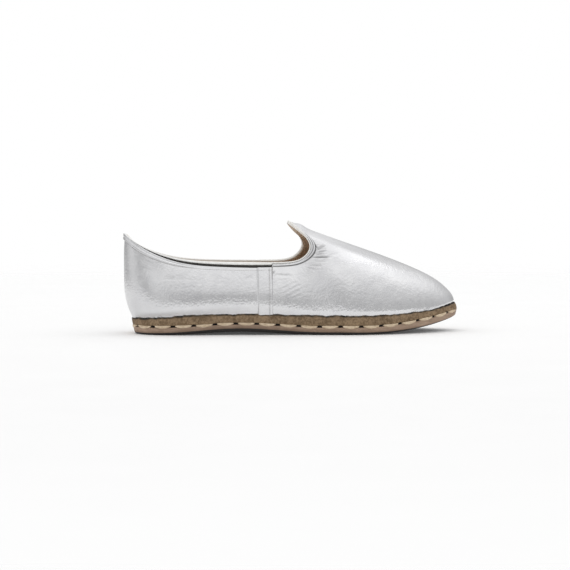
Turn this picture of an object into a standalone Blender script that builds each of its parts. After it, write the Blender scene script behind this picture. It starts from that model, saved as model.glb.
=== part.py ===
"""Flat slip-on shoe for the right foot: sole, insole, hollow upper, rand and topline binding.

Every size is in millimetres until the meshes are made. +X runs from heel to toe, -Y is the
outer (lateral) side of the foot, +Z is up and the floor is z = 0.
"""
import bmesh
import bpy
import numpy as np

# Driving sizes
MILLIMETRE = 0.001
SOLE_TIP = 258.0          # x of the sole's front edge, from the back of the heel
OUTSOLE_THICK = 5.6
INSOLE_THICK = 2.4
WALL = 1.8                # outer leather and lining together
FEATHER_INSET = 3.0       # how far the upper's lower edge stands inside the sole's edge
GAP = 0.3                 # clearance between pieces that touch
RAND_FOOT = 2.35          # rand's thickness where it meets the outsole
RAND_EDGE = 0.8           # and at its skived upper edge
RAND_CLEARANCE = 0.36     # between rand and upper, measured level
INSOLE_MARGIN = 0.6       # clearance between insole and wall
FOLD_TALL = 4.2           # turned-in edge along the topline
FOLD_RAISE = 0.5
LAP_WIDTH = 10.5          # quarter lapped over vamp at each side seam
LAP_RAISE = 0.9
BINDING_WIDE = 2.1
COLLAR_SWING = 0.010      # inward lean of the collar's middle line, per mm of length

# Underside: flat heel, arch, flat forefoot, toe spring
HEEL_FLAT_END = 24.0
ARCH_END = 148.0
ARCH_RISE = 2.3
SPRING_START = 174.0
SPRING_RISE = 11.9

# One row for each rib of the last, from heel to toe. A rib is a curve from the sole's edge to
# the collar: it leaves the edge towards the wall handle (out and rise), passes the shoulder
# handle and ends at the collar. Half widths are either side of the middle line.
RIB_COLUMNS = (
    "rib", "edge_x", "edge_half", "edge_swing", "wall_out", "wall_rise",
    "shoulder_x", "shoulder_half", "shoulder_z", "collar_x", "collar_half", "collar_z",
    "rand_tall", "bead_tall",
)
RIB_ROWS = (
    ("heel_back", 7.0, 0.0, 0.0, 10.3, 17.4, -0.7, 0.0, 52.3, 0.9, 0.0, 75.8, 6.0, 1.2),
    ("heel_corner", 13.5, 18.0, 0.0, 8.5, 18.0, 6.0, 17.8, 51.0, 8.5, 13.3, 69.4, 6.3, 1.2),
    ("heel_side", 38.0, 28.0, 0.0, 6.0, 18.0, 33.0, 27.0, 44.0, 32.0, 22.0, 59.4, 8.0, 1.8),
    ("waist", 78.0, 28.5, -1.2, 5.5, 16.0, 76.0, 28.5, 42.0, 74.0, 25.0, 55.0, 7.2, 2.2),
    ("seam", 110.2, 31.3, -1.8, 5.0, 16.0, 109.8, 30.1, 43.0, 110.8, 25.5, 54.5, 8.2, 2.2),
    ("fore_waist", 141.0, 36.6, -1.0, 4.5, 19.0, 132.0, 32.5, 45.0, 130.2, 25.5, 56.0, 8.6, 1.8),
    ("ball", 176.0, 42.0, 0.0, 4.5, 24.0, 155.5, 36.5, 52.5, 139.0, 23.3, 64.0, 8.4, 1.6),
    ("toe_root", 212.0, 35.5, 1.5, 4.3, 25.5, 181.5, 27.0, 57.5, 136.8, 20.6, 72.6, 7.4, 1.6),
    ("toe_side", 242.0, 21.0, 3.5, 4.0, 26.3, 198.5, 13.8, 56.0, 130.0, 14.5, 80.2, 4.9, 1.6),
    ("toe_tip", SOLE_TIP, 0.0, 4.5, 3.6, 27.0, 204.0, 0.0, 54.8, 125.3, 0.0, 84.8, 4.8, 1.6),
)

# Edge of the outsole, from the tread up: inset from its outline, share of its thickness
TREAD_EDGE = (
    ("tread", 3.2, 0.0),
    ("tread_round", 1.7, 0.10),
    ("side_low", 0.8, 0.38),
    ("side_high", 0.2, 0.78),
    ("top", 0.0, 1.0),
)
# Edge of the insole, from below: extra inset, share of its thickness
INSOLE_EDGE = (("under", 0.0, 0.0), ("side", 0.0, 0.65), ("top", 0.8, 1.0))
# Face of the rand, from the outsole up: share of its height, share of the way from foot to edge
RAND_FACE = (("foot", 0.0, 0.0), ("face_low", 0.3, 0.15), ("face_high", 0.7, 0.65), ("edge", 0.94, 1.0))
RAND_BACK_SHARES = (1.0, 0.7, 0.3, 0.0)

# How finely the faces follow the shapes
STATIONS = 50             # spaces between ribs on each side
OUTER_ROWS = 9            # rows of the outer wall between rand and fold
INNER_ROWS = 9
BEAD_SIDES = 6
STEP = 0.25               # run of a step in the wall, along the surface
FOLD_STEP_SHARE = 0.12    # share of the fold's height in which it steps out
NUDGE = 1e-4              # spacing for reading directions off the curves
SHARP_ANGLE = np.radians(40.0)

# Leather colours (linear), roughness and metallic
FINISHES = {
    "outsole": ((0.27, 0.18, 0.13), 0.55, 0.0),
    "insole": ((0.42, 0.31, 0.21), 0.65, 0.0),
    "upper": ((0.62, 0.62, 0.63), 0.32, 0.9),
    "rand": ((0.20, 0.14, 0.09), 0.75, 0.0),
    "topline_binding": ((0.78, 0.77, 0.74), 0.5, 0.3),
}


# Curves around the last

def rib_column(name):
    index = RIB_COLUMNS.index(name)
    return np.array([row[index] for row in RIB_ROWS], dtype=float)


def around(x, half, middle, z):
    """Closed loop of control points: outer side from heel to toe, inner side back to the heel."""
    outer = np.column_stack((x, middle - half, z))
    inner = np.column_stack((x, middle + half, z))
    return np.vstack((outer, inner[-2:0:-1]))


def closed_spline(knots, points, at):
    """Smooth closed cubic through the points, read at the given places along the knots."""
    count = len(points)
    spans = np.diff(knots)
    system = np.zeros((count, count))
    bends = np.zeros(points.shape)
    for i in range(count):
        before, after = spans[i - 1], spans[i]
        following = (i + 1) % count
        system[i, i - 1] += before
        system[i, i] += 2.0 * (before + after)
        system[i, following] += after
        bends[i] = 6.0 * ((points[following] - points[i]) / after - (points[i] - points[i - 1]) / before)
    curvature = np.linalg.solve(system, bends)
    at = np.mod(at, knots[-1])
    k = np.clip(np.searchsorted(knots, at, side="right") - 1, 0, count - 1)
    n = (k + 1) % count
    span = spans[k][:, None]
    done = (at - knots[k])[:, None]
    left = span - done
    return ((curvature[k] * left**3 + curvature[n] * done**3) / (6.0 * span)
            + (points[k] / span - curvature[k] * span / 6.0) * left
            + (points[n] / span - curvature[n] * span / 6.0) * done)


EDGE_LOOP = around(rib_column("edge_x"), rib_column("edge_half"), rib_column("edge_swing"),
                   np.zeros(len(RIB_ROWS)))
EDGE_CHORDS = np.linalg.norm(np.roll(EDGE_LOOP, -1, axis=0) - EDGE_LOOP, axis=1)
KNOTS = np.concatenate(([0.0], np.cumsum(EDGE_CHORDS))) / EDGE_CHORDS.sum()
TOE_KNOT = KNOTS[len(RIB_ROWS) - 1]
SIDE_LENGTH = EDGE_CHORDS.sum() * TOE_KNOT


def rib_values(name, at):
    """A column of the table, read around the shoe, the same on both sides."""
    values = rib_column(name)
    flat = np.zeros(len(values))
    return closed_spline(KNOTS, around(values, flat, flat, flat), at)[:, 0]


def stations(shares):
    """Places around the shoe at the same shares of the way from heel to toe on both sides."""
    outer = shares * TOE_KNOT
    inner = 1.0 - shares[-2:0:-1] * (1.0 - TOE_KNOT)
    return np.concatenate((outer, inner))


# Sole and last

def floor_rise(x):
    """Height of the sole's underside over the floor."""
    turn = np.clip((x - HEEL_FLAT_END) / (ARCH_END - HEEL_FLAT_END), 0.0, 1.0)
    spring = np.clip((x - SPRING_START) / (SOLE_TIP - SPRING_START), 0.0, None)
    return ARCH_RISE * 0.5 * (1.0 - np.cos(2.0 * np.pi * turn)) + SPRING_RISE * spring**2


def sole_edge(at, inset):
    """The sole's outline moved inwards, and its outward directions, flat on the floor."""
    along = closed_spline(KNOTS, EDGE_LOOP, at + NUDGE) - closed_spline(KNOTS, EDGE_LOOP, at - NUDGE)
    along /= np.linalg.norm(along, axis=1)[:, None]
    outward = np.column_stack((along[:, 1], -along[:, 0], np.zeros(len(at))))
    return closed_spline(KNOTS, EDGE_LOOP, at) - outward * inset, outward


def sole_ring(at, inset, height):
    """The outline at an inset, at a height over the curved underside."""
    ring, _ = sole_edge(at, inset)
    ring[:, 2] = floor_rise(ring[:, 0]) + height
    return ring


def last_ring(at, part):
    x = rib_column(part + "_x")
    loop = around(x, rib_column(part + "_half"), COLLAR_SWING * x, rib_column(part + "_z"))
    return closed_spline(KNOTS, loop, at)


def rib_handles(at):
    """The four handles of the ribs: feather edge, wall, shoulder and collar."""
    feather = sole_ring(at, FEATHER_INSET, OUTSOLE_THICK + GAP)
    _, outward = sole_edge(at, 0.0)
    wall = feather + outward * rib_values("wall_out", at)[:, None]
    wall[:, 2] += rib_values("wall_rise", at)
    return feather, wall, last_ring(at, "shoulder"), last_ring(at, "collar")


def skin(at, up):
    """Points of the upper's outer face: up runs along each rib from 0 (feather) to 1 (collar)."""
    feather, wall, shoulder, collar = [handle[:, None, :] for handle in rib_handles(at)]
    t = up[:, :, None]
    return ((1 - t)**3 * feather + 3 * (1 - t)**2 * t * wall
            + 3 * (1 - t) * t**2 * shoulder + t**3 * collar)


def skin_directions(at, up):
    """Outward and rising unit directions of the outer face, and its run for each unit of up."""
    rising = (skin(at, up + NUDGE) - skin(at, up - NUDGE)) / (2 * NUDGE)
    forward = skin(at + NUDGE, up) - skin(at - NUDGE, up)
    outward = np.cross(forward, rising)
    outward /= np.linalg.norm(outward, axis=2)[:, :, None]
    run = np.linalg.norm(rising, axis=2)
    return outward, rising / run[:, :, None], run


def up_at_height(at, height):
    """How far up each rib stands a point at a height over the feather edge."""
    lower_half = np.linspace(0.0, 0.5, 101)
    climb = skin(at, np.tile(lower_half, (len(at), 1)))[:, :, 2]
    return np.array([np.interp(tall, row - row[0], lower_half) for tall, row in zip(height, climb)])


def topline(at):
    """How far up each rib the upper's rim and the lower edge of its fold stand."""
    _, _, run = skin_directions(at, np.ones((len(at), 1)))
    rim = 1.0 - (rib_values("bead_tall", at) + GAP) / run[:, 0]
    return rim, rim - FOLD_TALL / run[:, 0]


# Solids: each gives its rings from first to last, every ring a closed loop of points

def outsole_rings():
    at = stations(np.linspace(0.0, 1.0, STATIONS + 1))
    return [sole_ring(at, inset, share * OUTSOLE_THICK) for _, inset, share in TREAD_EDGE]


def insole_rings():
    at = stations(np.linspace(0.0, 1.0, STATIONS + 1))
    margin = FEATHER_INSET + WALL + INSOLE_MARGIN
    base = OUTSOLE_THICK + GAP
    return [sole_ring(at, margin + inset, base + share * INSOLE_THICK) for _, inset, share in INSOLE_EDGE]


def rand_rings():
    at = stations(np.linspace(0.0, 1.0, STATIONS + 1))
    _, outward = sole_edge(at, 0.0)
    tall = rib_values("rand_tall", at)

    def ring(share, thickness):
        wall = skin(at, up_at_height(at, share * tall)[:, None])[:, 0]
        face = wall + outward * (RAND_CLEARANCE + thickness)
        face[:, 2] += floor_rise(face[:, 0]) - floor_rise(wall[:, 0])
        return face

    face = [ring(share, RAND_FOOT + (RAND_EDGE - RAND_FOOT) * thinned) for _, share, thinned in RAND_FACE]
    back = [ring(share, 0.0) for share in RAND_BACK_SHARES]
    return face + back


def lap_shares():
    """Shares of the way from heel to toe at the two edges of the lapped side seam."""
    names = [row[0] for row in RIB_ROWS]
    front = KNOTS[names.index("seam")] / TOE_KNOT
    return front - LAP_WIDTH / SIDE_LENGTH, front


def upper_rings():
    back, front = lap_shares()
    step = STEP / SIDE_LENGTH
    shares = np.linspace(0.0, 1.0, STATIONS + 1)
    clear = (np.abs(shares - back) > 3 * step) & (np.abs(shares - front) > 3 * step)
    edges = np.array((back - step, back + step, front - step, front + step))
    shares = np.sort(np.concatenate((shares[clear], edges)))
    at = stations(shares)
    side = np.concatenate((shares, shares[-2:0:-1]))
    lapped = (side > back) & (side < front)
    rim, fold = topline(at)
    tall = rib_values("rand_tall", at)
    bare = up_at_height(at, tall + GAP)
    risen = up_at_height(at, tall + GAP + STEP)

    def ring(up, raised):
        up = up[:, None]
        outward, _, _ = skin_directions(at, up)
        return skin(at, up)[:, 0] + outward[:, 0] * raised[:, None]

    none = np.zeros(len(at))
    lap = LAP_RAISE * lapped
    outer = [ring(none, none), ring(bare / 2, none), ring(bare, none)]
    outer += [ring(risen + (fold - risen) * share, lap) for share in np.linspace(0.0, 1.0, OUTER_ROWS)]
    outer.append(ring(fold + FOLD_STEP_SHARE * (rim - fold), lap + FOLD_RAISE))
    outer.append(ring(rim, lap + FOLD_RAISE))
    inner = [ring(rim * share, none - WALL) for share in np.linspace(1.0, 0.0, INNER_ROWS)]
    return outer + inner


def binding_rings():
    """A bead with a flat foot on the rim of the upper."""
    at = stations(np.linspace(0.0, 1.0, STATIONS + 1))
    rim, _ = topline(at)
    outward, rising, _ = [value[:, 0] for value in skin_directions(at, rim[:, None])]
    foot = skin(at, rim[:, None])[:, 0] - outward * WALL / 2 + rising * GAP
    tall = rib_values("bead_tall", at)[:, None]
    rings = []
    for angle in np.linspace(0.0, np.pi, BEAD_SIDES + 1):
        rings.append(foot + outward * np.cos(angle) * BINDING_WIDE / 2 + rising * np.sin(angle) * tall)
    return rings


# Meshes

def add_faces(mesh, first, second):
    """Faces of the band between two rings of corners."""
    count = len(first)
    for i in range(count):
        j = (i + 1) % count
        mesh.faces.new((first[i], first[j], second[j], second[i]))


def add_cap(mesh, ring):
    """Strips across a sole-shaped ring, from its outer to its inner side."""
    half = len(ring) // 2
    for i in range(half):
        corners = [ring[i], ring[i + 1], ring[-(i + 1) % len(ring)], ring[-i % len(ring)]]
        mesh.faces.new(list(dict.fromkeys(corners)))


def loft(name, rings, origin, closed):
    """A solid through rings: joined last to first where closed, or capped at both ends."""
    mesh = bmesh.new()
    corners = [[mesh.verts.new((point - origin) * MILLIMETRE) for point in ring] for ring in rings]
    for first, second in zip(corners, corners[1:]):
        add_faces(mesh, first, second)
    if closed:
        add_faces(mesh, corners[-1], corners[0])
    else:
        add_cap(mesh, corners[0])
        add_cap(mesh, corners[-1])
    bmesh.ops.triangulate(mesh, faces=mesh.faces[:])
    bmesh.ops.recalc_face_normals(mesh, faces=mesh.faces[:])
    data = bpy.data.meshes.new(name)
    mesh.to_mesh(data)
    mesh.free()
    data.shade_smooth()
    data.set_sharp_from_angle(angle=SHARP_ANGLE)
    return bpy.data.objects.new(name, data)


def leather(name):
    colour, roughness, metallic = FINISHES[name]
    material = bpy.data.materials.new(name + "_leather")
    material.use_nodes = True
    shader = material.node_tree.nodes["Principled BSDF"]
    shader.inputs["Base Color"].default_value = (*colour, 1.0)
    shader.inputs["Roughness"].default_value = roughness
    shader.inputs["Metallic"].default_value = metallic
    return material


def build():
    for old in list(bpy.data.objects):
        bpy.data.objects.remove(old)
    shoe = bpy.data.collections.new("flat_slip_on_shoe")
    bpy.context.scene.collection.children.link(shoe)
    solids = {
        "outsole": (outsole_rings(), False),
        "insole": (insole_rings(), False),
        "upper": (upper_rings(), True),
        "rand": (rand_rings(), True),
        "topline_binding": (binding_rings(), True),
    }
    # The origin is on the floor, under the middle of the whole shoe's box
    corners = np.vstack([np.vstack(rings) for rings, _ in solids.values()])
    origin = (corners.min(axis=0) + corners.max(axis=0)) / 2
    origin[2] = 0.0
    for name, (rings, closed) in solids.items():
        piece = loft(name, rings, origin, closed)
        piece.data.materials.append(leather(name))
        shoe.objects.link(piece)


build()
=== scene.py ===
# %% [markdown]
# # A flat slip-on shoe in silver leather
# This lesson dresses the plain solids of a right-foot slip-on. The real shoe is a soft silver upper
# sewn by hand to a leather sole, with a strip of tan leather, the rand, around its foot. The solids
# give the true shape and place of every piece. The cells below cut the same shapes again, finer, and
# give them folds, thread and finishes. Everything is drawn in millimetres and made a mesh in metres.

# %% Load the frame
import bmesh
import bpy
import numpy as np
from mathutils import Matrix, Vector


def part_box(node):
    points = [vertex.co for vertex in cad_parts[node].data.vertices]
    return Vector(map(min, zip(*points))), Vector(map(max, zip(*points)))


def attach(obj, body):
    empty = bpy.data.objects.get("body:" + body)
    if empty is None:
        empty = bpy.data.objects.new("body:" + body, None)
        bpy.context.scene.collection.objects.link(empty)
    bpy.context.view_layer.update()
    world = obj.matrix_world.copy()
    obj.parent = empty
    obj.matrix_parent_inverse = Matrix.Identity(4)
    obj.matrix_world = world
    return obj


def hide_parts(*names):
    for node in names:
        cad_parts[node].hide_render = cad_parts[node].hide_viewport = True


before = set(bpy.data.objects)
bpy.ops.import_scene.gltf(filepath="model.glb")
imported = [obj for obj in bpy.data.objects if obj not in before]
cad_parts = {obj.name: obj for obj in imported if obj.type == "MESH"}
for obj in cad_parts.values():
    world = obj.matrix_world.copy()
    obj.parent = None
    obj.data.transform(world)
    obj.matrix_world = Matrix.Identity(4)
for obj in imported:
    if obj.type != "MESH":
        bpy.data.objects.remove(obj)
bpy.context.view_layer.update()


print("solids:", ", ".join(sorted(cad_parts)))

# %% [markdown]
# ## The last
# A shoemaker draws a shoe on a wooden last. Here the last is ten ribs on each side: curves that rise
# from the sole's edge to the collar. Each row of the table gives one rib's handles, and a closed
# spline carries them around the shoe. A subdivided cage could give a like shape, but with ribs every
# seam, fold and stitch can be placed by its distance along the leather.

# %% Sizes of the last
MILLIMETRE = 0.001
SOLE_TIP = 258.0
OUTSOLE_THICK = 5.6
INSOLE_THICK = 2.4
FEATHER_INSET = 3.0       # the upper's lower edge stands this far inside the sole's edge
GAP = 0.3                 # clearance between pieces that touch
COLLAR_SWING = 0.010      # the collar's middle goes aside this much for each millimetre forward
HEEL_FLAT_END = 24.0      # the heel stands flat on the floor up to here
ARCH_END = 148.0
ARCH_RISE = 2.3
SPRING_START = 174.0      # from here the sole curves up to the toe's tip
SPRING_RISE = 11.9
NUDGE = 1e-4              # step for measuring slopes, as a share

# shaded_share is the share of the sole's height, up from the tread, that is painted nearly black as shade
RIB_COLUMNS = (
    "rib", "edge_x", "edge_half", "edge_swing", "wall_out", "wall_rise",
    "shoulder_x", "shoulder_half", "shoulder_z", "collar_x", "collar_half", "collar_z",
    "rand_tall", "bead_tall", "vamp_bead", "dark_tall", "band_tall", "band_raise", "band_shade", "seam_up",
    "shaded_share",
)
RIB_ROWS = (
    ("heel_back", 7.0, 0.0, 0.0, 10.3, 17.4, -0.7, 0.0, 52.3, 0.9, 0.0, 75.8,
     6.0, 0.2, 0.2, 0.0, 4.4, 1.10, 0.05, 0.9, 0.26),
    ("heel_corner", 13.5, 18.0, 0.0, 8.5, 18.0, 6.0, 17.8, 51.0, 8.5, 13.3, 69.4,
     6.3, 0.2, 0.2, 0.5, 4.2, 0.60, 0.30, 0.9, 0.28),
    ("heel_side", 38.0, 28.0, 0.0, 6.0, 18.0, 33.0, 27.5, 44.0, 32.0, 20.7, 59.4,
     8.0, 1.0, 1.0, 2.1, 3.0, 0.45, 0.35, 0.9, 0.36),
    ("waist", 78.0, 28.5, -1.2, 5.5, 16.0, 76.0, 29.8, 42.0, 74.0, 22.5, 55.0,
     7.2, 2.1, 1.2, 2.6, 1.8, 0.20, 0.06, 0.9, 0.50),
    ("seam", 110.2, 31.3, -1.8, 5.0, 16.0, 109.8, 30.7, 43.0, 110.8, 23.9, 54.5,
     8.2, 2.1, 1.2, 2.5, 1.5, 0.40, 0.80, 0.9, 0.46),
    ("fore_waist", 141.0, 36.6, -1.0, 4.5, 19.0, 132.0, 32.8, 45.0, 130.2, 24.4, 56.0,
     8.6, 1.6, 1.0, 0.8, 1.6, 0.55, 0.95, 0.9, 0.40),
    ("ball", 176.0, 42.0, 0.0, 4.5, 24.0, 155.5, 36.5, 52.5, 139.0, 23.3, 64.0,
     8.4, 1.6, 1.1, 0.7, 3.0, 0.80, 0.90, 0.9, 0.36),
    ("toe_root", 212.0, 35.5, 1.5, 4.3, 25.5, 181.5, 27.0, 57.5, 136.8, 20.6, 72.6,
     7.4, 1.4, 1.1, 0.6, 3.5, 0.80, 0.75, 0.8, 0.20),
    ("toe_side", 242.0, 21.0, 3.5, 4.0, 26.3, 198.5, 13.8, 56.0, 130.0, 14.5, 80.2,
     4.9, 1.2, 1.0, 0.5, 3.2, 0.60, 0.40, 0.3, 0.12),
    ("toe_tip", SOLE_TIP, 0.0, 4.5, 3.6, 27.0, 204.0, 0.0, 54.8, 125.3, 0.0, 84.8,
     4.8, 0.7, 0.7, 0.4, 2.6, 0.35, 0.15, -0.5, 0.10),
)


# %% Curves around the last
def rib_column(name):
    index = RIB_COLUMNS.index(name)
    return np.array([row[index] for row in RIB_ROWS], dtype=float)


def around(x, half, middle, z):
    """Closed loop of control points: outer side from heel to toe, inner side back to the heel."""
    outer = np.column_stack((x, middle - half, z))
    inner = np.column_stack((x, middle + half, z))
    return np.vstack((outer, inner[-2:0:-1]))


def closed_spline(knots, points, at):
    """Smooth closed cubic through the points, read at the given places along the knots."""
    count = len(points)
    spans = np.diff(knots)
    system = np.zeros((count, count))
    bends = np.zeros(points.shape)
    for i in range(count):
        before, after = spans[i - 1], spans[i]
        following = (i + 1) % count
        system[i, i - 1] += before
        system[i, i] += 2.0 * (before + after)
        system[i, following] += after
        bends[i] = 6.0 * ((points[following] - points[i]) / after - (points[i] - points[i - 1]) / before)
    curvature = np.linalg.solve(system, bends)
    at = np.mod(at, knots[-1])
    k = np.clip(np.searchsorted(knots, at, side="right") - 1, 0, count - 1)
    n = (k + 1) % count
    span = spans[k][:, None]
    done = (at - knots[k])[:, None]
    left = span - done
    return ((curvature[k] * left**3 + curvature[n] * done**3) / (6.0 * span)
            + (points[k] / span - curvature[k] * span / 6.0) * left
            + (points[n] / span - curvature[n] * span / 6.0) * done)


EDGE_LOOP = around(rib_column("edge_x"), rib_column("edge_half"), rib_column("edge_swing"),
                   np.zeros(len(RIB_ROWS)))
EDGE_CHORDS = np.linalg.norm(np.roll(EDGE_LOOP, -1, axis=0) - EDGE_LOOP, axis=1)
KNOTS = np.concatenate(([0.0], np.cumsum(EDGE_CHORDS))) / EDGE_CHORDS.sum()
TOE_KNOT = KNOTS[len(RIB_ROWS) - 1]
SIDE_LENGTH = EDGE_CHORDS.sum() * TOE_KNOT
SEAM_SHARE = KNOTS[[row[0] for row in RIB_ROWS].index("seam")] / TOE_KNOT


def all_around(count):
    """Even places around the shoe."""
    return np.linspace(0.0, 1.0, count, endpoint=False)


def rib_values(name, at):
    """A column of the table, read around the shoe, the same on both sides."""
    values = rib_column(name)
    flat = np.zeros(len(values))
    return closed_spline(KNOTS, around(values, flat, flat, flat), at)[:, 0]


def rib_rows(name, at):
    """The same as a column of numbers, for sums with rows of points."""
    return rib_values(name, at)[:, None]


def outer_at(shares):
    """Places on the outer side of the foot, at shares of the way from heel to toe."""
    return np.asarray(shares) * TOE_KNOT


def inner_at(shares):
    """The same shares of the way on the inner side of the foot."""
    return 1.0 - np.asarray(shares) * (1.0 - TOE_KNOT)


print(f"outline {EDGE_CHORDS.sum():.0f} mm around, side seam at {SEAM_SHARE:.2f} of the way to the toe")


# %% Sole and skin of the last
LOWER_HALF = np.linspace(0.0, 0.5, 101)   # places up a rib that are tried for a height


def floor_rise(x):
    """Height of the sole's underside over the floor: heel, arch, forefoot and toe spring."""
    turn = np.clip((x - HEEL_FLAT_END) / (ARCH_END - HEEL_FLAT_END), 0.0, 1.0)
    spring = np.clip((x - SPRING_START) / (SOLE_TIP - SPRING_START), 0.0, None)
    return ARCH_RISE * 0.5 * (1.0 - np.cos(2.0 * np.pi * turn)) + SPRING_RISE * spring**2


def sole_edge(at, inset):
    """The sole's outline moved inwards, and its outward directions, flat on the floor."""
    along = closed_spline(KNOTS, EDGE_LOOP, at + NUDGE) - closed_spline(KNOTS, EDGE_LOOP, at - NUDGE)
    along /= np.linalg.norm(along, axis=1)[:, None]
    outward = np.column_stack((along[:, 1], -along[:, 0], np.zeros(len(at))))
    return closed_spline(KNOTS, EDGE_LOOP, at) - outward * np.reshape(inset, (-1, 1)), outward


def sole_ring(at, inset, height):
    """The outline at an inset, at a height over the curved underside."""
    ring, _ = sole_edge(at, inset)
    ring[:, 2] = floor_rise(ring[:, 0]) + height
    return ring


def last_ring(at, part):
    x = rib_column(part + "_x")
    loop = around(x, rib_column(part + "_half"), COLLAR_SWING * x, rib_column(part + "_z"))
    return closed_spline(KNOTS, loop, at)


def skin(at, up):
    """Points of the upper's outer face: up runs along each rib from 0 (sole) to 1 (collar)."""
    feather = sole_ring(at, FEATHER_INSET, OUTSOLE_THICK + GAP)
    _, outward = sole_edge(at, 0.0)
    wall = feather + outward * rib_values("wall_out", at)[:, None]
    wall[:, 2] += rib_values("wall_rise", at)
    handles = feather, wall, last_ring(at, "shoulder"), last_ring(at, "collar")
    feather, wall, shoulder, collar = [handle[:, None, :] for handle in handles]
    t = up[:, :, None]
    return ((1 - t)**3 * feather + 3 * (1 - t)**2 * t * wall
            + 3 * (1 - t) * t**2 * shoulder + t**3 * collar)


def skin_directions(at, up):
    """Outward and rising unit directions of the outer face, and its run for each unit of up."""
    rising = (skin(at, up + NUDGE) - skin(at, up - NUDGE)) / (2 * NUDGE)
    forward = skin(at + NUDGE, up) - skin(at - NUDGE, up)
    outward = np.cross(forward, rising)
    outward /= np.linalg.norm(outward, axis=2)[:, :, None]
    run = np.linalg.norm(rising, axis=2)
    return outward, rising / run[:, :, None], run


def up_at_height(at, height):
    """How far up each rib stands a point at a height over the feather edge."""
    climb = skin(at, np.tile(LOWER_HALF, (len(at), 1)))[:, :, 2]
    return np.array([np.interp(tall, row - row[0], LOWER_HALF) for tall, row in zip(height, climb)])


def up_below_collar(at, below):
    """How far up each rib stands a point some millimetres below the collar, along the leather."""
    _, _, run = skin_directions(at, np.ones((len(at), 1)))
    return 1.0 - below / run


# %% [markdown]
# ## Laying the drawing on the solids
# The drawing starts at the back of the heel, but the solids stand around their own origin. The
# sole's outline is known in both, so the difference of its highest x and y is all that is needed.

# %% Find the drawing's origin
CAD_SIDES = np.linspace(0.0, 1.0, 51)
cad_at = np.concatenate((outer_at(CAD_SIDES), inner_at(CAD_SIDES[1:-1])))
outline = sole_ring(cad_at, 0.0, OUTSOLE_THICK)
ORIGIN = outline.max(axis=0) - 1000.0 * np.array(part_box("outsole")[1])
ORIGIN[2] = 0.0
print("drawing's origin in mm:", np.round(ORIGIN, 2))

# %% [markdown]
# ## From sections to meshes
# Nearly every piece of a shoe is a strip or a sheet with a constant make-up: the same cross-section
# carried along a line. So one helper joins sections, each a closed loop of points, into a closed
# mesh. Points that fall together, as at the ends of a sole, are merged. The sign of the volume
# tells whether the faces point outwards.

# %% A helper for sections
def section_faces(count, sides, joined):
    """Four-cornered faces between loops of points, joined last to first or left open at the ends."""
    i, k = np.meshgrid(np.arange(count if joined else count - 1), np.arange(sides), indexing="ij")
    j, n = (i + 1) % count, (k + 1) % sides
    return np.stack((i * sides + k, j * sides + k, j * sides + n, i * sides + n), axis=-1).reshape(-1, 4)


def make_piece(name, sections, finish, caps=None, values=None):
    """A closed mesh through the sections, with named numbers kept at its points for the finish.

    caps lists the corners of the faces that close the first section, and mirrored the last one.
    Without caps the last section joins the first.
    """
    count, sides, _ = sections.shape
    points = sections.reshape(-1, 3) - ORIGIN
    faces = section_faces(count, sides, caps is None).tolist()
    for cap in caps or ():
        faces.append(list(cap))
        faces.append([(count - 1) * sides + corner for corner in cap[::-1]])
    _, kept, merged = np.unique(np.round(points, 4), axis=0, return_index=True, return_inverse=True)
    points = points[kept]
    merged = merged.reshape(-1).tolist()
    faces = [list(dict.fromkeys(merged[corner] for corner in face)) for face in faces]
    mesh = bpy.data.meshes.new(name)
    mesh.from_pydata(points * MILLIMETRE, [], [face for face in faces if len(face) > 2])
    for label, numbers in (values or {}).items():
        attribute = mesh.attributes.new(label, "FLOAT", "POINT")
        attribute.data.foreach_set("value", np.asarray(numbers, dtype=float).reshape(-1)[kept])
    shape = bmesh.new()
    shape.from_mesh(mesh)
    if shape.calc_volume(signed=True) < 0.0:
        bmesh.ops.reverse_faces(shape, faces=shape.faces[:])
    shape.to_mesh(mesh)
    shape.free()
    mesh.shade_smooth()
    return finish_piece(name, mesh, finish)


def add_object(name, data):
    made = bpy.data.objects.new(name, data)
    bpy.context.scene.collection.objects.link(made)
    return made


def finish_piece(name, mesh, finish):
    """The object of a finished mesh, at the origin, with its one material."""
    mesh.materials.clear()
    mesh.materials.append(finish)
    mesh.calc_loop_triangles()
    print(f"{name}: {len(mesh.loop_triangles)} triangles")
    return add_object(name, mesh)


def dress(piece, node):
    """The piece takes the place of a solid and moves with the shoe."""
    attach(piece, "root")
    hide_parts(node)


# %% [markdown]
# ## Sums with sockets
# A leather finish is mostly arithmetic: so much grain, less of it where the edge is worn. Wiring Math
# nodes one by one hides that. This small class wraps a node's output so that `1 - worn * 0.4` adds
# the nodes itself. Colours go through a Mix node, because a Math node would turn them grey.

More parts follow.
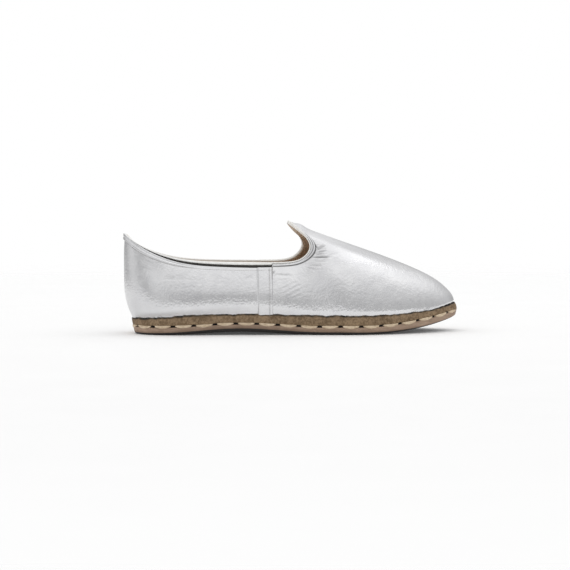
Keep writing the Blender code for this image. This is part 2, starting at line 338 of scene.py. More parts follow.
# %% The socket class
class Wire:
    """One output in a node tree, with arithmetic that adds Math nodes."""

    MIX_FACTOR, MIX_FIRST, MIX_SECOND, MIX_COLOUR = 0, 6, 7, 2

    def __init__(self, tree, socket=None):
        self.tree = tree
        self.socket = socket

    def node(self, kind, settings=None, inputs=None, output=0):
        """Adds any node: its settings first, then the values or links of its sockets."""
        made = self.tree.nodes.new(kind)
        for name, value in (settings or {}).items():
            if name == "stops":
                self.set_stops(made.color_ramp, value)
            else:
                setattr(made, name, value)
        for name, value in (inputs or {}).items():
            if isinstance(value, Wire):
                self.tree.links.new(value.socket, made.inputs[name])
            else:
                made.inputs[name].default_value = value
        return Wire(self.tree, made.outputs[output] if len(made.outputs) else None)

    @staticmethod
    def set_stops(ramp, stops):
        while len(ramp.elements) < len(stops):
            ramp.elements.new(1.0)
        for element, (position, colour) in zip(ramp.elements, stops):
            element.position = position
            element.color = colour

    def math(self, operation, first, second=0.0):
        return self.node("ShaderNodeMath", {"operation": operation}, {0: first, 1: second})

    def __add__(self, other):
        return self.math("ADD", self, other)

    def __radd__(self, other):
        return self.math("ADD", other, self)

    def __sub__(self, other):
        return self.math("SUBTRACT", self, other)

    def __rsub__(self, other):
        return self.math("SUBTRACT", other, self)

    def __mul__(self, other):
        return self.math("MULTIPLY", self, other)

    def __rmul__(self, other):
        return self.math("MULTIPLY", other, self)

    def __pow__(self, other):
        return self.math("POWER", self, other)

    def between(self, low, high):
        """0 below low and 1 above high, with a soft step between them."""
        settings = {"interpolation_type": "SMOOTHSTEP"}
        return self.node("ShaderNodeMapRange", settings, {"Value": self, "From Min": low, "From Max": high})

    def colour(self, first, second):
        """A colour between two, by this share."""
        inputs = {self.MIX_FACTOR: self, self.MIX_FIRST: first, self.MIX_SECOND: second}
        return self.node("ShaderNodeMix", {"data_type": "RGBA"}, inputs, self.MIX_COLOUR)


# %% Small helpers for finishes
def paint(red, green, blue):
    """A colour picked in screen values from 0 to 255, in the linear values that nodes take."""
    screen = np.array((red, green, blue)) / 255.0
    linear = np.where(screen <= 0.04045, screen / 12.92, ((screen + 0.055) / 1.055)**2.4)
    return (*linear.tolist(), 1.0)


class Finish:
    """A new material with its shader, and the Object coordinates that its patterns read."""

    def __init__(self, name, **constants):
        self.material = bpy.data.materials.new(name)
        self.material.use_nodes = True
        self.tree = self.material.node_tree
        self.shader = self.tree.nodes["Principled BSDF"]
        self.start = Wire(self.tree)
        self.place = self.start.node("ShaderNodeTexCoord", output="Object")
        for socket, value in constants.items():
            self.shader.inputs[socket.replace("_", " ").title()].default_value = value

    def noise(self, size, detail=2.0, roughness=0.5, stretch=(1.0, 1.0, 1.0)):
        """Soft random values from 0 to 1, in spots of a size in millimetres."""
        place = self.start.node("ShaderNodeMapping", {}, {"Vector": self.place, "Scale": stretch})
        inputs = {"Vector": place, "Scale": 1000.0 / size, "Detail": detail, "Roughness": roughness}
        return self.start.node("ShaderNodeTexNoise", {}, inputs, "Fac")

    def cells(self, size, feature="F1"):
        """Distance from the nearest of scattered points, a size in millimetres apart."""
        inputs = {"Vector": self.place, "Scale": 1000.0 / size}
        return self.start.node("ShaderNodeTexVoronoi", {"feature": feature}, inputs, "Distance")

    def along(self, axis):
        """A point's place along an axis of the drawing, in millimetres."""
        metres = self.start.node("ShaderNodeSeparateXYZ", {}, {"Vector": self.place}, axis)
        return metres * 1000.0 + float(ORIGIN["XYZ".index(axis)])

    def mark(self, label):
        """A number kept at the mesh's points."""
        return self.start.node("ShaderNodeAttribute", {"attribute_name": label}, {}, "Fac")

    def feed(self, socket, wire):
        self.tree.links.new(wire.socket, self.shader.inputs[socket])

    def bump(self, height, depth, strength=1.0):
        """Height from 0 to 1 as a relief of a depth in millimetres."""
        inputs = {"Height": height, "Strength": strength, "Distance": depth * MILLIMETRE}
        self.feed("Normal", self.start.node("ShaderNodeBump", {}, inputs))


# %% [markdown]
# ## Silver leather
# The upper is cowhide with a silver foil pressed on it: a metal, but a soft one. The foil follows the
# hide's pebbled grain and its finer pull wrinkles, so reflections are broad and slightly broken up.
# Metallic is full, roughness varies in clouds, and two sizes of bump carry the grain. The instep is
# rubbed matt. Painted shade darkens the creases, the lines under the band, the lap's cut front edge
# and the heel low down.

# %% Silver finish
# grey of the painted shade in creases, under the band, along the seam and low on the heel
SHADE_GREY = paint(62, 60, 58)
LOW_HEEL_SHADE_X = (18.0, 50.0)    # painted shade low on the heel fades out forwards and upwards
LOW_HEEL_SHADE_Z = (20.0, 34.0)
INSTEP_STARTS = (110.0, 128.0)
INSTEP_ENDS = (150.0, 195.0)
INSTEP_Z = (50.0, 64.0)
INSTEP_MATT = 0.28        # how much rougher the instep is
GRAIN_DEEP = 0.29


def silver_leather():
    finish = Finish("silver_leather")
    clouds = finish.noise(22.0, 3.0)
    rub = finish.noise(6.0, 4.0, 0.6)
    # painted shade and dark reflection along the lap's cut front edge, broken up by the rub noise
    raw = finish.mark("raw") * (0.55 + rub * 0.8).between(0.5, 1.0)
    crease = finish.mark("crease")
    shine = (clouds * 0.5 + rub * 0.5).between(0.3, 0.7)
    foil = shine.colour(paint(214, 214, 216), paint(225, 225, 226))
    x, z = finish.along("X"), finish.along("Z")
    # painted shade low on the heel, broken up by the rub noise
    low_heel_shade = (1 - x.between(*LOW_HEEL_SHADE_X)) * (1 - z.between(*LOW_HEEL_SHADE_Z)) * (0.03 + rub * 0.06)
    edged = raw.colour(low_heel_shade.colour(foil, SHADE_GREY), paint(66, 54, 44))
    # painted shade in creases, under the band and along the seam
    finish.feed("Base Color", crease.colour(edged, SHADE_GREY))
    finish.feed("Metallic", 1 - raw)
    instep = x.between(*INSTEP_STARTS) * (1 - x.between(*INSTEP_ENDS)) * z.between(*INSTEP_Z)
    wear_and_shade = 0.17 + clouds * 0.06 + rub * 0.06 + raw * 0.3 + crease * 0.2
    finish.feed("Roughness", wear_and_shade + instep * INSTEP_MATT)
    pebbles = finish.cells(1.5, "SMOOTH_F1")
    pulls = finish.noise(2.6, 3.0, 0.6, (0.75, 0.75, 1.0))
    finish.bump(pulls * 0.55 + pebbles * 0.40 + finish.noise(0.8) * 0.05, GRAIN_DEEP)
    return finish.material


SILVER = silver_leather()
print("made", SILVER.name)

# %% [markdown]
# ## The tan and cream leathers
# Below the silver everything is bare leather. The rand is a fibrous strip with a cut edge, the sole
# is pressed and burnished, and the lining and the insole are smooth. Most share one recipe, the thread
# too: two colours mixed by fine and coarse noise, and the fine one again in roughness and bump. Painted
# shade is coloured on top of it, along the rand's cut edge, in the thread's holes and along the sole's
# lower edge. Lining and piping are plainer and get their own.

# %% Bare leather finishes
def lining_leather():
    finish = Finish("lining_leather")
    clouds = finish.noise(14.0, 4.0, 0.6)
    finish.feed("Base Color", clouds.between(0.3, 0.72).colour(paint(198, 175, 149), paint(222, 201, 177)))
    finish.feed("Roughness", 0.52 + clouds * 0.18)
    finish.bump(finish.noise(0.9, 3.0) * 0.6 + finish.noise(4.0) * 0.4, 0.12, 0.6)
    return finish.material


def bare_leather(name, fine, coarse, mix, colours, rough, relief, wear_and_shade=None):
    """The shared recipe, from two noises.

    mix is the fine noise's share and the two values between which the colour changes, rough the
    lowest roughness and what the fine noise adds, relief the fine noise's share in the bump, the size
    of the grain that is the rest, depth and strength. wear_and_shade is a function that paints shade
    on the colour.
    """
    finish = Finish(name)
    fibres = finish.noise(*fine)
    share, low, high = mix
    mixed = (fibres * share + finish.noise(*coarse) * (1.0 - share)).between(low, high)
    colour = mixed.colour(paint(*colours[0]), paint(*colours[1]))
    finish.feed("Base Color", wear_and_shade(finish, colour) if wear_and_shade else colour)
    finish.feed("Roughness", rough[0] + fibres * rough[1])
    share, grain, depth, strength = relief
    finish.bump(fibres * share + finish.noise(grain) * (1.0 - share), depth, strength)
    return finish.material


def with_hole_shade(finish, colour):
    """Painted shade in the holes of the thread."""
    return finish.mark("hole").between(0.15, 0.6).colour(colour, paint(20, 14, 10))


def rand_cut_shade(finish, khaki):
    """Painted shade along the cut top edge, broken where it is torn."""
    tears = finish.noise(3.2, 3.0, 0.6).between(0.35, 0.6)
    top_shade = finish.mark("cut_edge") * (0.35 + tears * 0.65)
    return with_hole_shade(finish, top_shade.colour(khaki, paint(28, 21, 15)))


def sole_lower_shade(finish, side):
    """Painted shade: brown and then nearly black towards the tread."""
    layer = finish.mark("layer")
    lower_shade = (0.45 * (1 - layer.between(1.0, 2.2))).colour(side, paint(92, 70, 54))
    return with_hole_shade(finish, (1 - layer.between(0.9, 1.1)).colour(lower_shade, paint(22, 17, 14)))


def piping_leather(name, dark, pale, roughness):
    finish = Finish(name)
    grain = finish.noise(2.6, 4.0, 0.6)
    finish.feed("Base Color", grain.between(0.3, 0.7).colour(paint(*dark), paint(*pale)))
    finish.feed("Roughness", roughness + grain * 0.2)
    finish.bump(grain * 0.5 + finish.noise(0.6) * 0.5, 0.08, 0.6)
    return finish.material


LINING = lining_leather()
INSOLE = bare_leather("insole_leather", fine=(2.2, 4.0, 0.6, (0.35, 1.0, 1.0)), coarse=(18.0, 4.0, 0.6),
                      mix=(0.4, 0.32, 0.68), colours=((158, 130, 100), (192, 164, 132)),
                      rough=(0.55, 0.2), relief=(0.7, 0.8, 0.12, 0.6))
RAND = bare_leather("rand_leather", fine=(1.6, 5.0, 0.65), coarse=(9.0, 3.0, 0.6),
                    mix=(0.65, 0.34, 0.66), colours=((94, 74, 50), (152, 129, 101)),
                    rough=(0.7, 0.2), relief=(0.75, 0.6, 0.3, 0.8), wear_and_shade=rand_cut_shade)
SOLE = bare_leather("sole_leather", fine=(2.4, 4.0, 0.6, (0.3, 0.3, 1.6)), coarse=(12.0, 4.0, 0.6),
                    mix=(0.55, 0.3, 0.7), colours=((138, 115, 96), (174, 149, 129)),
                    rough=(0.55, 0.2), relief=(0.7, 0.7, 0.2, 0.6), wear_and_shade=sole_lower_shade)
THREAD = bare_leather("cream_thread", fine=(0.7, 2.0, 0.5, (0.3, 0.3, 1.0)), coarse=(5.0, 3.0),
                      mix=(0.6, 0.3, 0.7), colours=((186, 164, 134), (226, 208, 182)),
                      rough=(0.5, 0.25), relief=(1.0, 0.6, 0.25, 0.8))
QUARTER_PIPING = piping_leather("quarter_piping", (240, 239, 236), (251, 251, 249), 0.36)
VAMP_PIPING = piping_leather("vamp_piping", (236, 234, 228), (250, 249, 246), 0.36)
# the dark strip under the piping: partly the leather's cut edge, partly painted shade of the groove
SHADED_EDGE = piping_leather("dark_edge", (20, 17, 15), (44, 39, 35), 0.55)
FINE_THREAD = piping_leather("fine_thread", (150, 148, 146), (196, 194, 192), 0.55)
print("made", len(bpy.data.materials), "materials in all")

# %% [markdown]
# ## Folds in the upper
# Soft leather keeps the marks of the foot: a pinch at the throat's corner, a fold beside the side
# seam, dents over the toes. Noise would put them anywhere, so the main ones are drawn, each
# a line on the side of the shoe with a width and a depth. A trough has low ridges along it, as
# pushed leather does. Under them lies a weak unevenness that no hand-lasted upper is without.

# %% The table of folds
BOTH, OUTER, INNER = 0, -1, 1
# side, x and z of the start, x and z of the end, width, depth
FOLDS = (
    # the pinch at the throat's corner
    (BOTH, 141.5, 57.9, 153.5, 58.3, 0.75, 0.40),
    (BOTH, 152.0, 58.6, 160.0, 60.8, 1.2, 0.12),
    (BOTH, 143.3, 67.5, 145.7, 64.2, 0.7, 0.24),
    (OUTER, 144.3, 63.2, 151.3, 66.9, 0.65, 0.20),
    (OUTER, 145.3, 62.0, 151.7, 63.1, 0.65, 0.20),
    (OUTER, 145.5, 65.0, 150.0, 67.9, 0.65, 0.16),
    (OUTER, 143.5, 60.2, 150.0, 60.6, 0.65, 0.16),
    (OUTER, 137.7, 52.1, 146.6, 51.9, 0.7, 0.12),
    (OUTER, 136.6, 50.2, 141.7, 49.6, 0.7, 0.10),
    (INNER, 136.0, 52.6, 148.0, 54.2, 0.8, 0.16),
    # beside the seam
    (BOTH, 113.5, 44.6, 124.5, 44.3, 1.1, 0.22),
    (OUTER, 110.9, 45.6, 111.9, 47.8, 0.7, 0.34),
    (OUTER, 115.0, 33.0, 131.0, 41.0, 1.3, 0.07),
    (OUTER, 115.0, 29.5, 133.0, 38.5, 1.3, 0.08),
    (OUTER, 116.0, 26.5, 134.0, 35.5, 1.3, 0.07),
    (OUTER, 118.0, 24.5, 134.0, 32.0, 1.3, 0.06),
    # dents over the toes
    (OUTER, 156.5, 41.5, 168.5, 34.5, 2.0, 0.03),
    (OUTER, 159.5, 44.5, 169.5, 39.0, 1.8, 0.03),
    (OUTER, 158.5, 46.5, 168.5, 44.0, 2.0, 0.03),
    (OUTER, 158.0, 36.0, 172.0, 37.0, 2.0, 0.02),
    (BOTH, 185.0, 39.5, 197.0, 38.0, 4.0, 0.12),
    (INNER, 158.0, 45.0, 172.0, 37.0, 2.4, 0.13),
    (INNER, 120.0, 30.0, 136.0, 38.0, 1.9, 0.08),
    # the quarter, from seam to heel
    (OUTER, 90.0, 41.5, 96.0, 44.0, 1.6, 0.10),
    (OUTER, 84.0, 27.0, 99.0, 28.0, 2.0, 0.06),
    (OUTER, 52.0, 28.0, 88.0, 26.0, 2.4, 0.06),
    (OUTER, 18.0, 43.5, 54.0, 41.0, 2.0, 0.06),
    (BOTH, 6.0, 53.0, 28.0, 46.0, 6.5, 0.40),
    (BOTH, 7.0, 62.5, 14.0, 58.5, 1.8, 0.16),
    (BOTH, 9.0, 58.0, 20.0, 53.5, 2.0, 0.16),
    (INNER, 24.0, 44.0, 56.0, 40.0, 2.4, 0.10),
    (INNER, 60.0, 30.0, 96.0, 27.0, 3.0, 0.10),
)


# %% Fine wrinkles
# side, x and z of the middle, slope in degrees, how many, spacing, length, width, depth
WRINKLES = (
    (OUTER, 124.5, 33.0, 27.0, 8, 2.0, 15.0, 0.75, 0.022),
    (OUTER, 163.5, 40.0, -33.0, 6, 1.8, 11.0, 0.75, 0.020),
    (OUTER, 148.0, 61.5, 12.0, 8, 1.8, 8.0, 0.70, 0.090),
    (OUTER, 142.0, 52.0, 6.0, 4, 1.7, 11.0, 0.70, 0.050),
    (OUTER, 91.0, 28.5, 3.0, 7, 1.5, 20.0, 0.70, 0.022),
    (OUTER, 62.0, 31.0, -3.0, 6, 2.0, 30.0, 0.80, 0.010),
    (OUTER, 36.0, 43.0, -5.0, 7, 1.8, 26.0, 0.75, 0.008),
    (OUTER, 16.0, 54.0, -24.0, 5, 2.0, 10.0, 0.80, 0.045),
    (INNER, 126.0, 33.0, 24.0, 7, 2.1, 15.0, 0.80, 0.050),
    (INNER, 148.0, 63.0, 10.0, 5, 1.9, 8.0, 0.70, 0.070),
    (INNER, 165.0, 41.0, -30.0, 5, 2.0, 12.0, 0.80, 0.050),
    (INNER, 50.0, 38.0, -4.0, 7, 2.0, 28.0, 0.80, 0.035),
)


WRINKLE_TURN = 7.0        # degrees
WRINKLE_SLIP = 0.25       # share of the length
WRINKLE_SHIFT = 0.3       # share of the spacing


def wrinkle_folds():
    """Groups of fine, nearly parallel folds, each a little off its place and length."""
    dice = np.random.default_rng(11)
    folds = []
    for side, x, z, degrees, count, apart, long, width, depth in WRINKLES:
        for place in np.arange(count) - (count - 1) / 2.0:
            shift, slip, turn, reach = dice.uniform(-1.0, 1.0, 4)
            angle = np.radians(degrees + WRINKLE_TURN * turn)
            run = np.array((np.cos(angle), np.sin(angle)))
            middle = np.array((x, z)) + run * slip * WRINKLE_SLIP * long
            middle = middle + np.array((-run[1], run[0])) * apart * (place + WRINKLE_SHIFT * shift)
            half = run * long * (0.4 + 0.15 * reach)
            folds.append((side, *(middle - half), *(middle + half), width, depth))
    return folds


# %% Soft steps and bells
def soft_step(value, low, high):
    """0 below low and 1 above high, with a soft step between them."""
    share = np.clip((value - low) / (high - low), 0.0, 1.0)
    return share * share * (3.0 - 2.0 * share)


def soft_drop(value, low, high):
    return 1.0 - soft_step(value, low, high)


def bell(value, middle, width):
    """1 in the middle, falling softly to 0 on both sides."""
    return np.exp(-((value - middle) / width)**2)


# %% Unevenness
LUMP_CELLS = 32
LUMP_VALUES = np.random.default_rng(7).uniform(-1.0, 1.0, (LUMP_CELLS,) * 3)
LUMP_SHIFT = 100.0        # keeps the places in the grid positive


def lumps(points, height, size):
    """Smooth seeded unevenness up to a height, in lumps of a size. Moved points get other lumps."""
    place = points / size + LUMP_SHIFT
    low = np.floor(place).astype(int)
    share = soft_step(place - low, 0.0, 1.0)
    total = np.zeros(points.shape[:-1])
    for corner in np.ndindex(2, 2, 2):
        weight = np.prod(np.where(corner, share, 1.0 - share), axis=-1)
        cell = (low + corner) % LUMP_CELLS
        total += weight * LUMP_VALUES[cell[..., 0], cell[..., 1], cell[..., 2]]
    return height * total


# %% Relief of the folds
SHARP_FOLD = 1.05         # folds narrower than this get painted shade
FOLD_SHADE = 1.6          # shade for each millimetre of depth
ONE_SIDE = (2.0, 8.0)     # a fold of one side fades out on its way to the middle
ALL_FOLDS = (*FOLDS, *wrinkle_folds())


def fold_relief(points):
    """Height of the folds in millimetres along the normal, and the painted shade in the sharp ones."""
    height = np.zeros(points.shape[:-1])
    shade = np.zeros(points.shape[:-1])
    for side, start_x, start_z, end_x, end_z, width, depth in ALL_FOLDS:
        start = np.array((start_x, start_z))
        run = np.array((end_x, end_z)) - start
        length = np.hypot(*run)
        away = points[..., [0, 2]] - start
        along = (away @ run) / length**2
        across = (away @ np.array((-run[1], run[0]))) / length / width
        ends = np.exp(-(np.abs(2.0 * along - 1.0))**4)
        facing = 1.0 if side == BOTH else soft_step(side * points[..., 1], *ONE_SIDE)
        trough = np.exp(-0.5 * across**2) * ends * facing * depth
        height -= (1.0 - across**2) * trough
        if width < SHARP_FOLD:
            shade += FOLD_SHADE * trough * np.exp(-1.5 * across**2)
    return height, shade


print(len(FOLDS), "folds and", len(ALL_FOLDS) - len(FOLDS), "fine wrinkles")

# %% The wall above the rand
BEND_UP = 6.4             # above the rand the wall leans out to a bend, then goes up nearly straight
BEND_UP_FRONT = 2.9       # the bend's height beside the toes
BEND_LOWERS = (92.0, 150.0)
BEND_ENDS = (205.0, 235.0)
BEND_AT_HEEL = 0.45       # share of the bend at the heel's back
BEND_GROWS = (20.0, 48.0)
BEND_FADES = (4.0, 26.0)  # millimetres over the bend
BEND_ROUND = 0.7
LEAN_BELOW = 0.17
LEAN_ABOVE = 0.035
HEEL_SWELL = 1.3          # the heel's sides stand out over the rand and go up straight
HEEL_SWELL_UP = 4.6
HEEL_SWELL_LATE = 0.6     # it is full this far over its peak
HEEL_SWELL_ROUND = 2.0
HEEL_SWELL_TALL = 9.0
HEEL_SWELL_ENDS = (25.0, 95.0)
HEEL_SWELL_SIDES = (8.0, 18.0)


def wall_bend(x, above_rand):
    """The wall over the rand: two straight leans with a rounded bend between them."""
    tall = BEND_UP + (BEND_UP_FRONT - BEND_UP) * soft_step(x, *BEND_LOWERS)
    mean, tilt = (LEAN_BELOW + LEAN_ABOVE) / 2.0, (LEAN_ABOVE - LEAN_BELOW) / 2.0
    over_bend = above_rand - tall
    drop = mean * np.hypot(over_bend, BEND_ROUND) + tilt * over_bend
    foot = mean * np.hypot(tall, BEND_ROUND) - tilt * tall
    fade = soft_drop(over_bend, *BEND_FADES) * soft_drop(x, *BEND_ENDS)
    fade = fade * (BEND_AT_HEEL + (1.0 - BEND_AT_HEEL) * soft_step(x, *BEND_GROWS))
    return np.maximum(foot - drop, 0.0) * fade


def heel_swell(points, above_rand):
    """The swell of the heel's two sides, quick below its peak and slow above it."""
    over_peak = above_rand - HEEL_SWELL_UP
    soft_over = 0.5 * (over_peak + np.hypot(over_peak, HEEL_SWELL_ROUND))
    rise = soft_step(above_rand, 0.0, HEEL_SWELL_UP + HEEL_SWELL_LATE)
    sides = soft_step(np.abs(points[..., 1]), *HEEL_SWELL_SIDES)
    zone = soft_drop(points[..., 0], *HEEL_SWELL_ENDS) * sides
    return HEEL_SWELL * (rise * np.exp(-soft_over / HEEL_SWELL_TALL)) * zone


# %% Toe, tongue, instep and side
TOE_FULL = 0.9            # the leather bulges over the rand at the toe
TOE_ZONE = (230.0, 250.0)
TOE_RISES = (-0.5, 2.0)   # millimetres above the rand
TOE_FALLS = (2.5, 13.0)
HUMP = 1.4                # the tongue is arched a little before it ends at the throat
HUMP_X = 134.5
HUMP_LONG = 4.6
HUMP_WIDE = 9.0
HUMP_Z = (70.0, 76.0)
ROOF = 0.7                # beside its crest the instep is flat, like a roof, and round again over the toes
ROOF_MIDDLE = 14.0
ROOF_WIDE = 8.0
ROOF_STARTS = (128.0, 142.0)
ROOF_ENDS = (160.0, 198.0)
ROOF_Z = (45.0, 55.0)
ROOF_BELOW = (1.0, 9.0)   # millimetres below the collar where it starts and is full
BELLY = 1.1               # the quarter's side is a little rounded
BELLY_Z = 30.0
BELLY_TALL = 14.0
BELLY_ENDS = (120.0, 145.0)


def toe_bulge(x, above_rand):
    rise = TOE_FULL * soft_step(x, *TOE_ZONE) * soft_step(above_rand, *TOE_RISES)
    return rise * soft_drop(above_rand, *TOE_FALLS)


def tongue_hump(x, y, z):
    return HUMP * np.exp(-((x - HUMP_X) / HUMP_LONG)**2 - (y / HUMP_WIDE)**4) * soft_step(z, *HUMP_Z)


def side_belly(x, z):
    return BELLY * bell(z, BELLY_Z, BELLY_TALL) * soft_drop(x, *BELLY_ENDS)


def roof_dent(points, below_collar):
    """How far the instep's two sides lie inside the rounded last."""
    x, y, z = np.moveaxis(points, -1, 0)
    aside = np.abs(y - COLLAR_SWING * x)
    along = soft_step(x, *ROOF_STARTS) * soft_drop(x, *ROOF_ENDS)
    dent = ROOF * bell(aside, ROOF_MIDDLE, ROOF_WIDE) * along * soft_step(z, *ROOF_Z)
    return dent * soft_step(below_collar, *ROOF_BELOW)


# %% All relief together
LARGE_LUMPS = (0.12, 24.0)   # height and size
SMALL_LUMPS = (0.04, 10.0)
SMOOTH_TOE = 0.6          # how much smoother the toe is
SMOOTH_STARTS = (140.0, 175.0)
LOOSE_ABOVE = (0.5, 6.0)  # the leather is loose this far above the rand and below the collar
LOOSE_BELOW = (2.0, 8.0)
PULL_LUMPS = (0.06, 6.5)  # small pulls along the rand
PULL_RISES = (0.3, 2.5)
PULL_FALLS = (3.0, 9.0)
FOLDS_START = (0.5, 4.0)  # millimetres above the rand


def upper_relief(points, above_rand, below_collar):
    """Folds, unevenness and swells of the upper, and the painted shade in its folds."""
    x, y, z = np.moveaxis(points, -1, 0)
    loose = soft_step(above_rand, *LOOSE_ABOVE) * soft_step(below_collar, *LOOSE_BELOW)
    smooth = 1.0 - SMOOTH_TOE * soft_step(x, *SMOOTH_STARTS)
    uneven = smooth * (lumps(points, *LARGE_LUMPS) + lumps(points + 50.0, *SMALL_LUMPS))
    pull = soft_step(above_rand, *PULL_RISES) * soft_drop(above_rand, *PULL_FALLS)
    folds, shade = fold_relief(points)
    over_rand = soft_step(above_rand, *FOLDS_START)
    height = folds * over_rand + uneven * loose + wall_bend(x, above_rand) + toe_bulge(x, above_rand)
    height = height + tongue_hump(x, y, z) + side_belly(x, z) + heel_swell(points, above_rand)
    height = height - roof_dent(points, below_collar) + pull * lumps(points + 20.0, *PULL_LUMPS)
    return height, shade * over_rand


# %% [markdown]
# ## Vamp and quarter
# Two pieces of silver leather make the upper. The vamp covers the toes and the instep. The quarter
# wraps the heel, and its cut front edges lap over the vamp at the side seams, so the lap stands proud
# and leaves a soft ridge where the vamp ends beneath it. Along the collar both are turned in, which
# makes a band a few millimetres tall. Each piece is a sheet with thickness: an outer face, a rolled
# top edge and an inner face, section by section around the last.

# %% A sheet of leather
LEATHER = 0.7             # thickness of the silver leather
EDGE_SHADE_LOW = 0.15          # share of the cut edge's painted shade that is left low on the side
EDGE_SHADE_ZONE = (38.0, 47.0)
TOP_ZONE = 8.0            # millimetres below the edge that get closer rows
TOP_ROWS = 33
ROLL_STEPS = 4
BACK_SPACING = 8          # the hidden back needs only every eighth row


def leather_sheet(name, at, edge, lower_rows, raised, shaded, front_edge_shade):
    """A cut piece around part of the last, whose edge lies a given length below the collar.

    raised gives its height over the skin, shaded its lines of painted shade, and front_edge_shade
    the painted shade along its cut front ends.
    """
    edge = edge[:, None]
    near_top = up_below_collar(at, edge + np.linspace(TOP_ZONE, 0.0, TOP_ROWS)[None, :])
    lower = near_top[:, :1] * np.linspace(0.0, 1.0, lower_rows)[None, :-1]
    up = np.concatenate((lower, near_top), axis=1)
    outward, rising, run = skin_directions(at, up)
    points = skin(at, up)
    below = (1.0 - up) * run[:, -1:]
    above_rand = points[:, :, 2] - points[:, :1, 2] - rib_rows("rand_tall", at)
    relief, shade = upper_relief(points, above_rand, below)
    height = raised(at, below - edge) + relief
    face = points + outward * height[:, :, None]
    back = face - outward * LEATHER
    middle = (face[:, -1] + back[:, -1]) / 2.0
    roll = []
    for angle in np.pi * (np.arange(ROLL_STEPS) + 0.5) / ROLL_STEPS:
        turned = outward[:, -1] * np.cos(angle) + rising[:, -1] * np.sin(angle)
        roll.append(middle + turned * LEATHER / 2.0)
    rows = np.append(np.arange(0, up.shape[1] - 1, BACK_SPACING), up.shape[1] - 1)
    sections = np.concatenate((face, np.stack(roll, axis=1), back[:, rows[::-1]]), axis=1)
    # the painted shade along the cut front edge is weaker low on the side
    wear_and_shade = EDGE_SHADE_LOW + (1.0 - EDGE_SHADE_LOW) * soft_step(sections[:, :, 2], *EDGE_SHADE_ZONE)
    raw = front_edge_shade[:, None] * wear_and_shade
    # painted shade in the folds and along the band, the lap and the seam
    crease = np.zeros(raw.shape)
    crease[:, :up.shape[1]] = np.clip(shade + shaded(at, below - edge), 0.0, 1.0)
    return make_piece(name, sections, SILVER, sheet_caps(rows), {"raw": raw, "crease": crease})


def sheet_caps(rows):
    """Faces that close a sheet's end: the roll, and one face for each row of the back."""
    top = rows[-1]
    first_back = top + ROLL_STEPS + 1
    caps = [tuple(range(top, first_back + 1))]
    for step, (lower, upper) in enumerate(zip(rows[-2::-1], rows[:0:-1])):
        caps.append((*range(lower, upper + 1), first_back + step, first_back + step + 1))
    return caps


# %% Before and behind the seam
SEAM_TURN = (-0.3, 0.6)   # millimetres behind the cut edge in which the collar changes


def behind_seam(at):
    """Millimetres from the quarter's cut front edge, back along the outline. In front it is negative."""
    around_heel = (at + 0.5) % 1.0 - 0.5
    share = np.where(around_heel < 0.0, -around_heel / (1.0 - TOE_KNOT), around_heel / TOE_KNOT)
    return (SEAM_SHARE - share) * SIDE_LENGTH


def across_seam(at, before, behind):
    """One value along the vamp and another along the quarter."""
    return before + (behind - before) * soft_step(behind_seam(at), *SEAM_TURN)


def bead_height(at):
    """Height of the collar's piping, which is lower along the vamp than along the quarter."""
    return across_seam(at, rib_values("vamp_bead", at), rib_values("bead_tall", at))


# %% The band along the collar
BAND_STEP = 0.35          # half the length in which the band steps down to the leather
BAND_SHADE_WIDE = 0.45
GROOVE_DEEP = 0.30
GROOVE_WIDE = 0.4
GROOVE_SHARE = 0.45       # the groove's place on the band's way down
GROOVE_SHADE = 0.8        # share of the band's shade
GROOVE_SHADE_WIDE = 0.35
GROOVE_SHADE_TALL = (1.7, 2.5)   # only a band this tall gets painted shade in its groove
VAMP_SWELL = 0.16         # the vamp swells a little in front of the quarter's cut edge
VAMP_SWELL_AHEAD = 1.0
VAMP_SWELL_LONG = 0.6


def topline_band(at, below_edge):
    """The turned-in band along the collar, with a groove along its middle."""
    tall = rib_rows("band_tall", at)
    band = rib_rows("band_raise", at) * soft_drop(below_edge, tall - BAND_STEP, tall + BAND_STEP)
    return band - GROOVE_DEEP * bell(below_edge, GROOVE_SHARE * tall, GROOVE_WIDE)


def band_shade(at, below_edge):
    """Shade under the band's lower edge."""
    lower_edge = rib_rows("band_tall", at) + BAND_STEP
    return rib_rows("band_shade", at) * bell(below_edge, lower_edge, BAND_SHADE_WIDE)


def vamp_raise(at, below_edge):
    """The band, and the swell at the seam."""
    ahead = -behind_seam(at)[:, None]
    return topline_band(at, below_edge) + VAMP_SWELL * bell(ahead, VAMP_SWELL_AHEAD, VAMP_SWELL_LONG)


def vamp_shade(at, below_edge):
    """Shade under the band and, where it is tall, in its groove."""
    tall = rib_rows("band_tall", at)
    groove = bell(below_edge, GROOVE_SHARE * tall, GROOVE_SHADE_WIDE) * soft_step(tall, *GROOVE_SHADE_TALL)
    return band_shade(at, below_edge) + GROOVE_SHADE * rib_rows("band_shade", at) * groove


# %% The lap at the seam
LAP_WIDTH = 10.5
LAP_RAISE = 0.75
LAP_EASE = 1.4            # length in which the lap comes down behind the vamp's edge
RIDGE = 0.12
RIDGE_INSET = 0.6         # the ridge's crest lies this far before the lap comes down
RIDGE_WIDE = 0.7
RIDGE_SHADE = 0.35
RIDGE_SHADE_OUT = 0.3
RIDGE_SHADE_WIDE = 0.35
RIDGE_PALE = 0.3          # share of that shade along the ridge's upper part
RIDGE_DARKENS = (20.0, 28.0)   # millimetres below the edge
CUT_ROUND = 0.25
CUT_ROUND_LONG = 0.6
SEAM_STITCH_INSET = 2.4   # the seam's stitches run this far behind it
STITCH_SHADE = 0.16
STITCH_SHADE_WIDE = 0.6
HEEL_BACK_SHADE = 0.10         # painted shade at the back of the heel
HEEL_BACK_SHADE_ZONE = (0.0, 18.0)
BAND_ENDS = (42.0, 76.0)  # the quarter's band ends on its way to the seam, this far behind it


